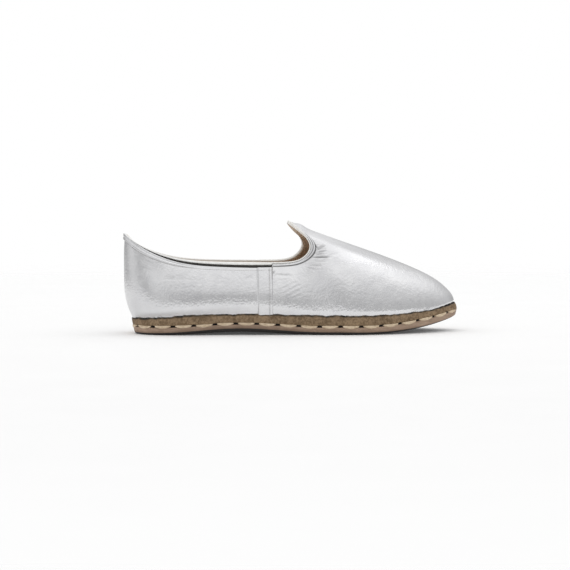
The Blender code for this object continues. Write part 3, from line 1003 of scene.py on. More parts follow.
def quarter_raise(at, below_edge):
    """The quarter lies over the vamp for the width of the lap, and its cut edge is rounded."""
    behind = behind_seam(at)[:, None]
    band = topline_band(at, below_edge) * soft_step(behind, *BAND_ENDS)
    lap = LAP_RAISE * soft_drop(behind, LAP_WIDTH, LAP_WIDTH + LAP_EASE)
    ridge = RIDGE * bell(behind, LAP_WIDTH - RIDGE_INSET, RIDGE_WIDE)
    return band + lap + ridge - CUT_ROUND * soft_drop(behind, 0.0, CUT_ROUND_LONG)


def quarter_shade(at, below_edge):
    """Painted shade: lines under the band, where the lap comes down and along the seam's stitches, and at
    the back of the heel.
    """
    behind = behind_seam(at)[:, None]
    band = band_shade(at, below_edge) * soft_step(behind, *BAND_ENDS)
    ridge = RIDGE_SHADE * bell(behind, LAP_WIDTH + RIDGE_SHADE_OUT, RIDGE_SHADE_WIDE)
    ridge = ridge * (RIDGE_PALE + (1.0 - RIDGE_PALE) * soft_step(below_edge, *RIDGE_DARKENS))
    holes = STITCH_SHADE * bell(behind, SEAM_STITCH_INSET, STITCH_SHADE_WIDE)
    half_way_up = skin(at, 0.5 * np.ones((len(at), 1)))
    return band + ridge + holes + HEEL_BACK_SHADE * soft_drop(half_way_up[:, :, 0], *HEEL_BACK_SHADE_ZONE)


# %% Cut the vamp and the quarter
VAMP_COLUMNS = 420
VAMP_ROWS = 160
VAMP_GAP = 0.7            # height of the line of shaded dark edge between the vamp and its piping
UNDERLAP = LAP_WIDTH - 0.9   # the vamp goes this far under the quarter
QUARTER_COLUMNS = 150     # on each side, behind the lap
QUARTER_ROWS = 120
EDGE_SHADE_BEHIND = (0.3, 0.7)     # painted shade shows along the cut edge for this far behind the front
# start, end and spacing of columns behind the cut edge: closer there and where the lap comes down
LAP_COLUMNS = ((0.0, 1.2, 0.15), (1.2, 9.0, 0.8), (9.0, 13.5, 0.3))


def quarter_places():
    """Columns of the quarter, from the inner seam around the heel to the outer one."""
    lap = np.concatenate([np.arange(*columns) for columns in LAP_COLUMNS])
    lap_shares = SEAM_SHARE - lap[::-1] / SIDE_LENGTH
    side = np.concatenate((np.linspace(0.0, lap_shares[0], QUARTER_COLUMNS)[:-1], lap_shares))
    return np.concatenate((inner_at(side[:0:-1]) - 1.0, outer_at(side)))


underlap_share = SEAM_SHARE - UNDERLAP / SIDE_LENGTH
vamp_at = np.linspace(outer_at(underlap_share), inner_at(underlap_share), VAMP_COLUMNS)
vamp_edge = bead_height(vamp_at) + across_seam(vamp_at, VAMP_GAP, rib_values("dark_tall", vamp_at))
vamp = leather_sheet("vamp", vamp_at, vamp_edge, VAMP_ROWS, vamp_raise, vamp_shade, np.zeros(VAMP_COLUMNS))
quarter_at = quarter_places()
quarter_edge = bead_height(quarter_at) + rib_values("dark_tall", quarter_at)
quarter = leather_sheet("quarter", quarter_at, quarter_edge, QUARTER_ROWS, quarter_raise, quarter_shade,
                        soft_drop(behind_seam(quarter_at), *EDGE_SHADE_BEHIND))
for piece in (vamp, quarter):
    dress(piece, "upper")

# %% [markdown]
# ## Lining
# Inside, a thinner tan leather covers the silver's back from the insole to the collar, and its edge
# shows behind the piping. It is one ring all around, a little inside the outer leather.

# %% Line the upper
LINING_FACE = 0.85        # below the skin
LINING_BACK = 1.8
LINING_WAVE = (0.10, 18.0)
LINING_TOP = 0.3          # its edge lies this far below a share of the piping's height
LINING_TOP_SHARE = 0.45
LINING_ROWS = 44
LINING_COLUMNS = 420

lining_at = all_around(LINING_COLUMNS)
lining_top = up_below_collar(lining_at, LINING_TOP_SHARE * bead_height(lining_at)[:, None] + LINING_TOP)
lining_up = lining_top * np.linspace(0.0, 1.0, LINING_ROWS)[None, :]
lining_out, _, lining_run = skin_directions(lining_at, lining_up)
lining_points = skin(lining_at, lining_up)
lining_dent = roof_dent(lining_points, (1.0 - lining_up) * lining_run[:, -1:])
lining_points = lining_points - lining_out * lining_dent[:, :, None]
lining_back = LINING_BACK + lumps(lining_points, *LINING_WAVE)[:, :, None]
lining_sections = np.concatenate((
    lining_points - lining_out * LINING_FACE,
    (lining_points - lining_out * lining_back)[:, ::-1],
), axis=1)
lining = make_piece("lining", lining_sections, LINING)
dress(lining, "upper")

# %% [markdown]
# ## Geometry Nodes helpers
# Piping, thread and stitches all follow a line on the shoe. A Geometry Nodes tree is the natural tool:
# the line goes in as a thin guide mesh that carries directions at its points, and sizes go in as named
# inputs. The helper sets the inputs by their identifiers, reads the evaluated result as a plain mesh
# and throws the guide away.

# %% Grow a mesh along a guide
def guide_mesh(lines, joined, marks):
    """Lines of points in millimetres, as edges, with vectors or numbers kept at the points."""
    points = np.concatenate(lines)
    edges = []
    first = 0
    for line in lines:
        count = len(line)
        edges += [(first + i, first + i + 1) for i in range(count - 1)]
        if joined:
            edges.append((first + count - 1, first))
        first += count
    mesh = bpy.data.meshes.new("guide")
    mesh.from_pydata((points - ORIGIN) * MILLIMETRE, edges, [])
    for label, values in marks.items():
        values = np.concatenate(values)
        vectors = values.ndim == 2
        attribute = mesh.attributes.new(label, "FLOAT_VECTOR" if vectors else "FLOAT", "POINT")
        attribute.data.foreach_set("vector" if vectors else "value", values.astype(float).reshape(-1))
    return mesh


def new_tree(name, sizes):
    """A Geometry Nodes tree with a guide, a number for each named size, and the guide as a curve."""
    tree = bpy.data.node_groups.new(name, "GeometryNodeTree")
    tree.interface.new_socket("Guide", in_out="INPUT", socket_type="NodeSocketGeometry")
    for size in sizes:
        tree.interface.new_socket(size, in_out="INPUT", socket_type="NodeSocketFloat")
    tree.interface.new_socket("Finish", in_out="INPUT", socket_type="NodeSocketMaterial")
    tree.interface.new_socket("Mesh", in_out="OUTPUT", socket_type="NodeSocketGeometry")
    entry = tree.nodes.new("NodeGroupInput")
    size = {socket.name: Wire(tree, socket) for socket in entry.outputs if socket.name}
    line = size["Guide"].node("GeometryNodeMeshToCurve", {}, {"Mesh": size["Guide"]})
    return tree, size, line


def end_tree(shape, finish):
    """Realize Instances and Set Material, then the tree's output."""
    plain = shape.node("GeometryNodeRealizeInstances", {}, {"Geometry": shape})
    smooth = shape.node("GeometryNodeSetShadeSmooth", {}, {"Geometry": plain})
    finished = shape.node("GeometryNodeSetMaterial", {}, {"Geometry": smooth, "Material": finish})
    shape.node("NodeGroupOutput", {}, {"Mesh": finished})


def read_mark(wire, label, kind="FLOAT_VECTOR"):
    return wire.node("GeometryNodeInputNamedAttribute", {"data_type": kind}, {"Name": label}, "Attribute")


def keep_mark(shape, label, value, kind="FLOAT"):
    """Keeps a value at a shape's points under a name."""
    return shape.node("GeometryNodeStoreNamedAttribute", {"data_type": kind, "domain": "POINT"},
                      {"Geometry": shape, "Name": label, "Value": value})


def scaled(vector, share):
    return vector.node("ShaderNodeVectorMath", {"operation": "SCALE"}, {0: vector, "Scale": share})


def summed(first, second):
    return first.node("ShaderNodeVectorMath", {"operation": "ADD"}, {0: first, 1: second})


def out_and_up(line, out, up):
    """A step from a guide's point, by the directions that the guide carries."""
    return summed(scaled(read_mark(line, "outward"), out), scaled(read_mark(line, "rising"), up))


def grow(name, tree, guide, finish, sizes):
    """Runs a tree on a guide and keeps the result as a plain piece."""
    carrier = add_object(name + "_guide", guide)
    modifier = carrier.modifiers.new("grow", "NODES")
    modifier.node_group = tree
    inputs = [item for item in tree.interface.items_tree if item.in_out == "INPUT"]
    identifiers = {item.name: item.identifier for item in inputs}
    for label, value in sizes.items():
        modifier[identifiers[label]] = value
    modifier[identifiers["Finish"]] = finish
    evaluated = carrier.evaluated_get(bpy.context.evaluated_depsgraph_get())
    mesh = bpy.data.meshes.new_from_object(evaluated)
    bpy.data.objects.remove(carrier)
    return finish_piece(name, mesh, finish)


# %% [markdown]
# ## Piping and its dark edge
# The collar is finished with a pale rolled edge. Between it and the silver a dark strip shows, wide
# along the quarter and hair-thin along the vamp: partly the leather's cut edge, and partly painted
# shade of the groove under the piping. At the heel only this strip is left. All three are one rule,
# an oval carried along the collar whose height changes on the way, so one tree makes them.
# It sweeps a unit circle to get the faces, and then puts each point where the oval has it.

# %% The oval sweep
def oval_along(line, sides, width):
    """Sweeps a circle along a line, then puts each point on the oval that the line's marks give."""
    turn = line.node("GeometryNodeSplineParameter", output="Factor")
    circle = line.node("GeometryNodeCurvePrimitiveCircle", {}, {"Resolution": sides, "Radius": 1.0})
    circle = keep_mark(circle, "turn", turn)
    sweep = {"Curve": line, "Profile Curve": circle, "Fill Caps": True}
    swept = line.node("GeometryNodeCurveToMesh", {}, sweep)
    angle = read_mark(line, "turn", "FLOAT") * (2.0 * np.pi)
    level = angle.math("COSINE", angle) * width * 0.5
    upright = angle.math("SINE", angle) * read_mark(line, "tall", "FLOAT") * 0.5
    place = summed(read_mark(line, "centre"), out_and_up(line, level, upright))
    return line.node("GeometryNodeSetPosition", {}, {"Geometry": swept, "Position": place})


def oval_sweep_tree():
    tree, size, line = new_tree("oval_sweep", ("Width", "Sides"))
    end_tree(oval_along(line, size["Sides"], size["Width"]), size["Finish"])
    return tree


OVAL_SWEEP = oval_sweep_tree()
OVAL_SIDES = 14


def collar_oval(name, at, top, bottom, depth, width, joined, finish):
    """An oval along the collar, between two heights below its top, at a depth under the skin."""
    up = up_below_collar(at, ((top + bottom) / 2.0)[:, None])
    outward, rising, _ = [value[:, 0] for value in skin_directions(at, up)]
    line = skin(at, up)[:, 0] - outward * np.reshape(depth, (-1, 1))
    marks = {
        "centre": [(line - ORIGIN) * MILLIMETRE],
        "outward": [outward],
        "rising": [rising],
        "tall": [(bottom - top) * MILLIMETRE],
    }
    guide = guide_mesh([line], joined, marks)
    return grow(name, OVAL_SWEEP, guide, finish, {"Width": width * MILLIMETRE, "Sides": OVAL_SIDES})


# %% Pipe the collar
PIPING_POINTS = 260
PIPING_WIDE = 2.0
PIPING_DEPTH = 0.75
PIPING_TUCK = 0.25        # its lower edge goes this far behind the dark edge
LAP_STEP = 0.5            # the quarter's piping stands this much prouder at the seam
VAMP_PIPING_WIDE = 2.6
VAMP_PIPING_TUCK = 0.15
VAMP_PIPING_LAP = 0.004   # it starts this share of the outline behind the seam
BAND_FOLLOW = 0.9         # and comes out with the band
DARK_POINTS = 420
DARK_WIDE = 1.5
DARK_DEPTH = 0.85
DARK_TOP_SHARE = 0.6      # the shaded dark edge starts at this share of the piping's height
DARK_HIDDEN = 1.6         # and goes down this far behind the silver

outer_seam, inner_seam = outer_at(SEAM_SHARE), inner_at(SEAM_SHARE)
piping_at = np.linspace(inner_seam - 1.0, outer_seam, PIPING_POINTS)
piping_tall = bead_height(piping_at)
quarter_piping = collar_oval("quarter_piping", piping_at, 0.0 * piping_tall, piping_tall + PIPING_TUCK,
                             PIPING_DEPTH - LAP_STEP, PIPING_WIDE, False, QUARTER_PIPING)

piping_at = np.linspace(outer_seam - VAMP_PIPING_LAP, inner_seam + VAMP_PIPING_LAP, PIPING_POINTS)
piping_tall = rib_values("vamp_bead", piping_at)
piping_depth = PIPING_DEPTH - BAND_FOLLOW * rib_values("band_raise", piping_at)
vamp_piping = collar_oval("vamp_piping", piping_at, 0.0 * piping_tall, piping_tall + VAMP_PIPING_TUCK,
                          piping_depth, VAMP_PIPING_WIDE, False, VAMP_PIPING)

# the dark strip under the piping, partly cut edge and partly painted shade
dark_at = all_around(DARK_POINTS)
dark_top = bead_height(dark_at) * DARK_TOP_SHARE
dark_bottom = bead_height(dark_at) + rib_values("dark_tall", dark_at) + DARK_HIDDEN
dark_edge = collar_oval("dark_edge", dark_at, dark_top, dark_bottom, DARK_DEPTH, DARK_WIDE, True, SHADED_EDGE)
for piece in (quarter_piping, vamp_piping, dark_edge):
    dress(piece, "topline_binding")

# %% [markdown]
# ## Where the sole's thread goes
# The rand is sewn through the sole by hand with one thick thread. Its long stitches lie in the seam
# between the two, and at the holes the leather is pulled in and painted dark as shade. The holes are
# spaced evenly along the outline, so first the outline is measured, and then each point of rand and
# sole can ask how near a hole is.

# %% Measure the stitch line
STITCHES = 36
FIRST_HOLE_X = 113.6      # a hole on the outer side, a little in front of the seam
HOLE_LONG = 2.1
HOLE_TALL = 0.75
HOLE_DEEP = 1.7

fine_at = np.linspace(0.0, 1.0, 4001)
fine_edge, _ = sole_edge(fine_at, 0.0)
EDGE_RUN = np.concatenate(([0.0], np.cumsum(np.linalg.norm(np.diff(fine_edge, axis=0), axis=1))))
PITCH = EDGE_RUN[-1] / STITCHES
outer_half = fine_at < TOE_KNOT
FIRST_HOLE = np.interp(FIRST_HOLE_X, fine_edge[outer_half, 0], EDGE_RUN[outer_half])


def stitch_turns(at):
    """How many stitches along the outline each place is, whole at the holes."""
    return (np.interp(np.mod(at, 1.0), fine_at, EDGE_RUN) - FIRST_HOLE) / PITCH


def near_hole(at, above_sole):
    """1 in the middle of a hole and 0 away from it, at heights over the outsole's top."""
    turns = stitch_turns(at)
    along = (turns - np.round(turns)) * PITCH
    above = above_sole - rib_values("seam_up", at)
    return np.exp(-((along / HOLE_LONG)**2 + (above / HOLE_TALL)**2)**2)


print(f"{STITCHES} stitches of {PITCH:.1f} mm around {EDGE_RUN[-1]:.0f} mm")

# %% [markdown]
# ## Rand
# The rand is a strip of rough khaki leather that hugs the foot of the upper. It is thick below, where
# the thread goes through, and skived thin at its top edge, which is cut by hand and so a little
# uneven. Its sections run up the outer face, over the cut edge and down the back.

# %% Shape the rand
RAND_FOOT = 2.35
RAND_EDGE = 0.8
RAND_CLEARANCE = 0.36
RAND_THINNING = 1.4       # how late the strip gets thin on its way up
RAND_ROWS = 16
RAND_COLUMNS = 900
RAND_TOP_SHARE = 0.95
RAND_TOP_SHADE = (0.82, 0.93)   # shares of the height where the painted shade along the cut top edge starts and is full
RAND_RAGGED = (0.35, 5.0)
RAND_FRAYED = (0.22, 1.9)
RAND_ROUGH = (0.10, 2.2)
# share of the height and thickness of the lines over the cut edge and down the back
RAND_BACK = ((0.99, 0.55), (1.0, 0.3), (0.99, 0.06), (0.6, 0.0), (0.3, 0.0), (0.0, 0.0))

rand_at = all_around(RAND_COLUMNS)
rand_edge, rand_out = sole_edge(rand_at, 0.0)
ragged = lumps(rand_edge, *RAND_RAGGED) + lumps(rand_edge + 30.0, *RAND_FRAYED)
rand_tall = rib_values("rand_tall", rand_at) + ragged


def rand_ring(share, thickness):
    """One line around the rand, at a share of its height and a thickness from the upper."""
    wall = skin(rand_at, up_at_height(rand_at, share * rand_tall)[:, None])[:, 0]
    face = wall + rand_out * np.reshape(RAND_CLEARANCE + thickness, (-1, 1))
    face[:, 2] += floor_rise(face[:, 0]) - floor_rise(wall[:, 0])
    return face


rand_lines = []
rand_hole_shade = []
rand_top_shade = []
for share in np.linspace(0.0, RAND_TOP_SHARE, RAND_ROWS):
    hole = near_hole(rand_at, GAP + share * rand_tall)
    rough = lumps(rand_edge + 70.0 + 9.0 * share, *RAND_ROUGH)
    thick = RAND_FOOT + (RAND_EDGE - RAND_FOOT) * share**RAND_THINNING
    rand_lines.append(rand_ring(share, thick + rough - HOLE_DEEP * hole))
    rand_hole_shade.append(hole)
    rand_top_shade.append(np.full(RAND_COLUMNS, soft_step(share, *RAND_TOP_SHADE)))
for share, thickness in RAND_BACK:
    rand_lines.append(rand_ring(share, thickness))
    rand_hole_shade.append(np.zeros(RAND_COLUMNS))
    rand_top_shade.append(np.ones(RAND_COLUMNS))
rand_marks = {"hole": np.stack(rand_hole_shade, axis=1), "cut_edge": np.stack(rand_top_shade, axis=1)}
rand = make_piece("rand", np.stack(rand_lines, axis=1), RAND, values=rand_marks)
dress(rand, "rand")

# %% [markdown]
# ## Outsole and insole
# A sole is a slab with a shaped edge. Its sections go across the shoe, from the outer edge over the top
# to the inner edge and back underneath. At heel and toe the sections shrink to a line and the merged
# points close the slab. The outsole keeps its tread round and its side a little slanted, and the
# insole is crowned, with its edge turned down.

# %% A helper for slabs
SLAB_COLUMNS = 441
SLAB_SHARES = 0.5 - 0.5 * np.cos(np.pi * np.linspace(0.0, 1.0, SLAB_COLUMNS))
SLAB_OUTER, SLAB_INNER = outer_at(SLAB_SHARES), inner_at(SLAB_SHARES)
ACROSS = np.linspace(0.0, 1.0, 14)[1:-1]
CROWN_FULL = 40.0         # a slab this wide has its whole crown


def slab_sections(edge_rows, crown):
    """Sections across a slab, with a crown on top.

    edge_rows gives, from the bottom up, a function for the inset and a height.
    """
    outer_edge = [sole_ring(SLAB_OUTER, inset(SLAB_OUTER), height) for inset, height in edge_rows]
    inner_edge = [sole_ring(SLAB_INNER, inset(SLAB_INNER), height) for inset, height in edge_rows]

    def across(first, second, rise):
        rows = []
        for share in ACROSS:
            row = first + (second - first) * share
            wide = np.linalg.norm(second - first, axis=1)
            row[:, 2] = row[:, 2] + rise * 4.0 * share * (1.0 - share) * soft_step(wide, 0.0, CROWN_FULL)
            rows.append(row)
        return rows

    top = across(outer_edge[-1], inner_edge[-1], crown)
    under = across(inner_edge[0], outer_edge[0], 0.0)
    return np.stack(outer_edge + top + inner_edge[::-1] + under, axis=1)


# %% Shape the outsole
SIDE_SLANT = 1.3
TREAD_ROUND = 1.9
ROUND_POWER = 14
SOLE_ROUGH = (0.08, 3.0)
OUTSOLE_SHARES = (
    0.0, 0.02, 0.05, 0.1, 0.18, 0.3, 0.4, 0.5, 0.6,
    0.68, 0.74, 0.79, 0.83, 0.87, 0.91, 0.95, 0.98, 1.0,
)


def outsole_row(share):
    """Inset and height of one line around the outsole's edge, with the holes of the thread."""
    height = share * OUTSOLE_THICK
    slant = SIDE_SLANT * (1.0 - share) + TREAD_ROUND * (1.0 - share)**ROUND_POWER

    def inset(at):
        edge, _ = sole_edge(at, 0.0)
        hole = near_hole(at, height - OUTSOLE_THICK)
        return slant + HOLE_DEEP * hole + lumps(edge + 40.0 + 3.0 * share, *SOLE_ROUGH)

    return inset, height


outsole_sections = slab_sections([outsole_row(share) for share in OUTSOLE_SHARES], 0.0)
outsole_hole_shade = np.zeros(outsole_sections.shape[:2])
outsole_layer = np.zeros(outsole_sections.shape[:2])
last_edge_row = 2 * len(OUTSOLE_SHARES) + len(ACROSS) - 1
for row, share in enumerate(OUTSOLE_SHARES):
    for side_at, place in ((SLAB_OUTER, row), (SLAB_INNER, last_edge_row - row)):
        outsole_hole_shade[:, place] = near_hole(side_at, (share - 1.0) * OUTSOLE_THICK)
        outsole_layer[:, place] = share / rib_values("shaded_share", side_at)
outsole_marks = {"layer": outsole_layer, "hole": outsole_hole_shade}
outsole = make_piece("outsole", outsole_sections, SOLE, caps=(), values=outsole_marks)
dress(outsole, "outsole")

# %% Shape the insole
INSOLE_MARGIN = 5.4
INSOLE_CROWN = 0.5
INSOLE_EDGE = ((0.0, 0.0), (0.0, 0.5), (0.06, 0.7), (0.25, 0.86), (0.6, 0.96), (1.1, 1.0))


def insole_row(inset, share):
    def whole_inset(at):
        return np.full(len(at), INSOLE_MARGIN + inset)

    return whole_inset, OUTSOLE_THICK + GAP + share * INSOLE_THICK


insole_rows = [insole_row(inset, share) for inset, share in INSOLE_EDGE]
insole = make_piece("insole", slab_sections(insole_rows, INSOLE_CROWN), INSOLE, caps=())
dress(insole, "insole")

# %% [markdown]
# ## The sole's thread
# The thread dives into each hole and lies proud between them. Pulled tight at its ends, it is thin there
# and fat in the middle, and its upper edge stays straight under the rand. All that is a wave along one
# line, so a tree does it: the line is resampled, each point is moved by a sine of its length, and the
# oval of the piping is swept along it with the wave as its height.

# %% The running thread
DIVE_ENDS = (0.22, 0.44)  # the thread comes out of its hole between these values of the wave
THREAD_THIN = 0.30        # share of its height where it is pulled tight
THREAD_FATTENS = 1.3
THREAD_SIDES = 9


def running_thread_tree():
    tree, size, line = new_tree("running_thread", ("Lift", "Dive", "Tall", "Deep", "Step"))
    steps = {"Curve": line, "Length": size["Step"]}
    line = line.node("GeometryNodeResampleCurve", {"mode": "LENGTH"}, steps)
    turns = read_mark(line, "turns", "FLOAT") * np.pi
    wave = line.math("ABSOLUTE", line.math("SINE", turns))
    out = wave.between(*DIVE_ENDS) * (size["Lift"] + size["Dive"]) - size["Dive"]
    tall = (THREAD_THIN + (1.0 - THREAD_THIN) * wave**THREAD_FATTENS) * size["Tall"]
    step = out_and_up(line, out, (size["Tall"] - tall) * 0.5)
    place = summed(line.node("GeometryNodeInputPosition"), step)
    line = keep_mark(keep_mark(line, "centre", place, "FLOAT_VECTOR"), "tall", tall)
    end_tree(oval_along(line, THREAD_SIDES, size["Deep"]), size["Finish"])
    return tree


def in_metres(sizes):
    return {label: value * MILLIMETRE for label, value in sizes.items()}


# %% Sew the sole
THREAD_SIZES = {"Lift": 0.1, "Dive": 3.0, "Tall": 2.3, "Deep": 1.2, "Step": 0.45}
THREAD_POINTS = 3600
THREAD_DROP = 0.55        # the middle of a stitch lies this far below the holes
THREAD_INSET = 0.1
THREAD_SWAY = (0.25, 9.0)
TOE_TUCK = 0.7            # it lies deeper around the toe's tip
TOE_TUCK_ZONE = (248.0, 257.0)

thread_at = all_around(THREAD_POINTS)
thread_edge, thread_out = sole_edge(thread_at, 0.0)
thread_inset = THREAD_INSET + TOE_TUCK * soft_step(thread_edge[:, 0], *TOE_TUCK_ZONE)
thread_line = sole_ring(thread_at, thread_inset, OUTSOLE_THICK - THREAD_DROP)
thread_line[:, 2] += rib_values("seam_up", thread_at) + lumps(thread_line + 11.0, *THREAD_SWAY)
thread_marks = {
    "outward": [thread_out],
    "rising": [np.tile((0.0, 0.0, 1.0), (THREAD_POINTS, 1))],
    "turns": [np.unwrap(stitch_turns(thread_at) * np.pi) / np.pi],
}
thread_guide = guide_mesh([thread_line], True, thread_marks)
sole_thread = grow("sole_thread", running_thread_tree(), thread_guide, THREAD, in_metres(THREAD_SIZES))
dress(sole_thread, "rand")

# %% [markdown]
# ## Fine stitches
# The quarter's band and the lapped seams are sewn by machine with thin grey thread. Each stitch is a small
# grain that lies along the seam. A tree sets points along the lines at the stitch length, turns a grain
# to the line's direction and to the leather's outward direction at each, and realizes them.

# %% The stitch row
def stitch_row_tree():
    tree, size, line = new_tree("stitch_row", ("Pitch", "Long", "Wide", "Proud"))
    steps = {"Curve": line, "Length": size["Pitch"]}
    points = line.node("GeometryNodeCurveToPoints", {"mode": "LENGTH"}, steps)
    tangent = Wire(tree, points.socket.node.outputs["Tangent"])
    turned = line.node("FunctionNodeAlignRotationToVector", {"axis": "X"}, {"Vector": tangent})
    outward = {"Rotation": turned, "Vector": read_mark(line, "outward")}
    turned = line.node("FunctionNodeAlignRotationToVector", {"axis": "Z", "pivot_axis": "X"}, outward)
    grain = line.node("GeometryNodeMeshUVSphere", {}, {"Segments": 8, "Rings": 5, "Radius": 0.5})
    sides = {"X": size["Long"], "Y": size["Wide"], "Z": size["Proud"]}
    shape = line.node("ShaderNodeCombineXYZ", {}, sides)
    row = {"Points": points, "Instance": grain, "Rotation": turned, "Scale": shape}
    end_tree(line.node("GeometryNodeInstanceOnPoints", {}, row), size["Finish"])
    return tree


STITCH_ROW = stitch_row_tree()
STITCH_SIZES = {"Pitch": 1.7, "Long": 1.35, "Wide": 0.42, "Proud": 0.34}
SEAM_STITCH_SIZES = {"Pitch": 1.3, "Long": 0.9, "Wide": 0.6, "Proud": 0.4}


def surface_line(at, below_edge, raised):
    """Points on a leather piece some millimetres below its top edge, and their outward directions."""
    below_edge = below_edge[:, None]
    below = bead_height(at)[:, None] + rib_rows("dark_tall", at) + below_edge
    up = up_below_collar(at, below)
    outward, _, _ = skin_directions(at, up)
    points = skin(at, up)
    above_rand = points[:, :, 2] - OUTSOLE_THICK - rib_rows("rand_tall", at)
    relief, _ = upper_relief(points, above_rand, below)
    return points[:, 0] + outward[:, 0] * (raised(at, below_edge) + relief), outward[:, 0]


# %% Sew the collar and the seams
SEAM_POINTS = 120
SEAM_STITCH_RUN = (1.2, 37.0)   # the seam's stitches start and end this far below the edge


def sew(name, lines, sizes):
    """A row of stitches along each line. A line is its points and their outward directions."""
    guide = guide_mesh([points for points, _ in lines], False, {"outward": [out for _, out in lines]})
    return grow(name, STITCH_ROW, guide, FINE_THREAD, in_metres(sizes))


band_edge = rib_values("band_tall", quarter_at) + BAND_STEP
collar_line = surface_line(quarter_at, band_edge, quarter_raise)
collar_stitches = sew("collar_stitches", [collar_line], STITCH_SIZES)

seam_lines = []
stitch_share = SEAM_SHARE - SEAM_STITCH_INSET / SIDE_LENGTH
for side_at in (outer_at(stitch_share), inner_at(stitch_share) - 1.0):
    below_edge = np.linspace(*SEAM_STITCH_RUN, SEAM_POINTS)
    seam_lines.append(surface_line(np.full(SEAM_POINTS, side_at), below_edge, quarter_raise))
seam_stitches = sew("seam_stitches", seam_lines, SEAM_STITCH_SIZES)
for piece in (collar_stitches, seam_stitches):
    dress(piece, "upper")

# %% [markdown]
# ## Floor and light
# Silver shows the room more than itself. The room here is a white floor, grey walls that get lighter
# upwards, a few soft boxes and one dark flag. The boxes over the toe make the long highlight on the
# vamp, the pale ends of the room light heel and toe, and the flag keeps the heel's shoulder grey. Above
# the rand the floor is mirrored. The camera sees plain white instead of the room.

# %% Floor
FLOOR_RADIUS = 1.4
FLOOR_FADE = (0.30, 1.30)
FLOOR_GLOW = 0.06


def floor_paper():
    """White paper that is plain near the shoe and fades into the white room."""
    finish = Finish("floor_paper", emission_color=(1.0, 1.0, 1.0, 1.0), emission_strength=FLOOR_GLOW)
    mottle = finish.noise(60.0, 3.0)
    away = finish.start.node("ShaderNodeVectorMath", {"operation": "LENGTH"}, {0: finish.place}, "Value")
    finish.feed("Base Color", mottle.colour(paint(246, 246, 246), paint(250, 250, 250)))
    finish.feed("Roughness", 0.7 + mottle * 0.1)
    finish.feed("Alpha", 1 - away.between(*FLOOR_FADE))
    return finish.material


FLOOR_SIDES = 64
floor_mesh = bpy.data.meshes.new("floor")
turns = 2.0 * np.pi * np.arange(FLOOR_SIDES) / FLOOR_SIDES
floor_points = np.column_stack((np.cos(turns), np.sin(turns), np.zeros(FLOOR_SIDES))) * FLOOR_RADIUS
floor_mesh.from_pydata(floor_points, [], [list(range(FLOOR_SIDES))])
floor_mesh.materials.append(floor_paper())
floor = add_object("floor", floor_mesh)


# %% World and lamps
def greys(*stops):
    """Stops of a grey ramp, from sines of the height over the horizon and brightnesses."""
    return [(0.5 + 0.5 * sine, (grey, grey, grey, 1.0)) for sine, grey in stops]


ROOM = greys((-0.30, 0.90), (-0.10, 0.70), (0.0, 0.54), (0.10, 0.51), (0.25, 0.60),
             (0.5, 0.77), (0.65, 0.88), (0.8, 1.04), (1.0, 1.02))
# direction of each soft box, pale wall or dark flag, cosines where it starts and is full, brightness
SOFT_BOXES = (
    ((0.12, -0.80, 0.58), (0.92, 0.995), 0.12),
    ((-0.44, -0.845, 0.30), (0.94, 0.985), 0.22),
    ((0.62, 0.08, 0.78), (0.88, 0.99), 0.22),
    ((0.20, 0.45, 0.87), (0.86, 0.99), 0.03),
    ((-0.97, -0.12, 0.0), (0.60, 0.95), 0.27),
    ((-0.73, -0.51, 0.45), (0.86, 0.97), -0.16),
    ((0.98, 0.12, 0.05), (0.90, 0.985), 0.16),
)


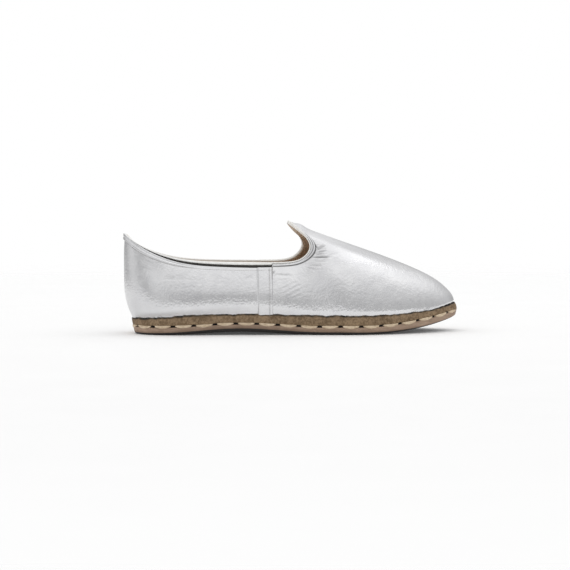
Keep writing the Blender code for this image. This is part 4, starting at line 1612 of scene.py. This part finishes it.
def studio_world():
    """Grey walls, soft boxes and a dark flag for reflections, plain white for the camera."""
    world = bpy.data.worlds.new("studio")
    world.use_nodes = True
    tree = world.node_tree
    start = Wire(tree)
    aim = start.node("ShaderNodeTexCoord", output="Generated")
    height = start.node("ShaderNodeSeparateXYZ", {}, {"Vector": aim}, "Z") * 0.5 + 0.5
    room = start.node("ShaderNodeValToRGB", {"stops": ROOM}, {"Fac": height})
    for direction, cosines, brightness in SOFT_BOXES:
        both = {0: aim, 1: direction}
        near = start.node("ShaderNodeVectorMath", {"operation": "DOT_PRODUCT"}, both, "Value")
        room = room + near.between(*cosines) * brightness
    straight = start.node("ShaderNodeLightPath", output="Is Camera Ray")
    sky = straight.colour(room, (1.0, 1.0, 1.0, 1.0))
    tree.links.new(sky.socket, tree.nodes["Background"].inputs["Color"])
    bpy.context.scene.world = world


LAMP_AIM = Vector((0.0, 0.0, 0.03))


def soft_lamp(name, place, size, power):
    """A rectangular lamp that looks at the shoe."""
    light = bpy.data.lights.new(name, "AREA")
    light.shape = "RECTANGLE"
    light.size, light.size_y = size
    light.energy = power
    lamp = add_object(name, light)
    lamp.location = place
    aim = LAMP_AIM - lamp.location
    lamp.rotation_euler = aim.to_track_quat("-Z", "Y").to_euler()


studio_world()
soft_lamp("ceiling", (0.1, 0.35, 1.2), (1.3, 0.9), 1.6)

# %% [markdown]
# ## Camera
# The photograph is taken from far away, nearly level and square to the outer side, turned a little so
# that the heel is nearer. The camera's place comes from those angles, and the point that it looks at
# from where the shoe's middle stands in the picture.

# %% Camera
PICTURE = 570.0           # pixels on each side
CAMERA_TURN = np.radians(-7.0)
CAMERA_RISE = np.radians(3.0)
CAMERA_FAR = 1.6
PIXEL = 0.7678e-3         # metres of shoe to a pixel
MIDDLE_PIXEL = (292.5, 331.7)
SENSOR = 36.0

right = Vector((np.cos(CAMERA_TURN), np.sin(CAMERA_TURN), 0.0))
back = Vector((np.sin(CAMERA_TURN) * np.cos(CAMERA_RISE), -np.cos(CAMERA_TURN) * np.cos(CAMERA_RISE),
               np.sin(CAMERA_RISE)))
above = back.cross(right)
target = right * (PICTURE / 2 - MIDDLE_PIXEL[0]) * PIXEL + above * (MIDDLE_PIXEL[1] - PICTURE / 2) * PIXEL
lens = bpy.data.cameras.new("camera")
lens.sensor_width = SENSOR
lens.lens = SENSOR * CAMERA_FAR / (PIXEL * PICTURE)
camera = add_object("camera", lens)
camera.location = target + back * CAMERA_FAR
camera.rotation_euler = back.to_track_quat("Z", "Y").to_euler()
bpy.context.scene.camera = camera
bpy.context.scene.view_settings.view_transform = "Standard"
print(f"camera lens {lens.lens:.1f} mm at {[round(value, 3) for value in camera.location]}")
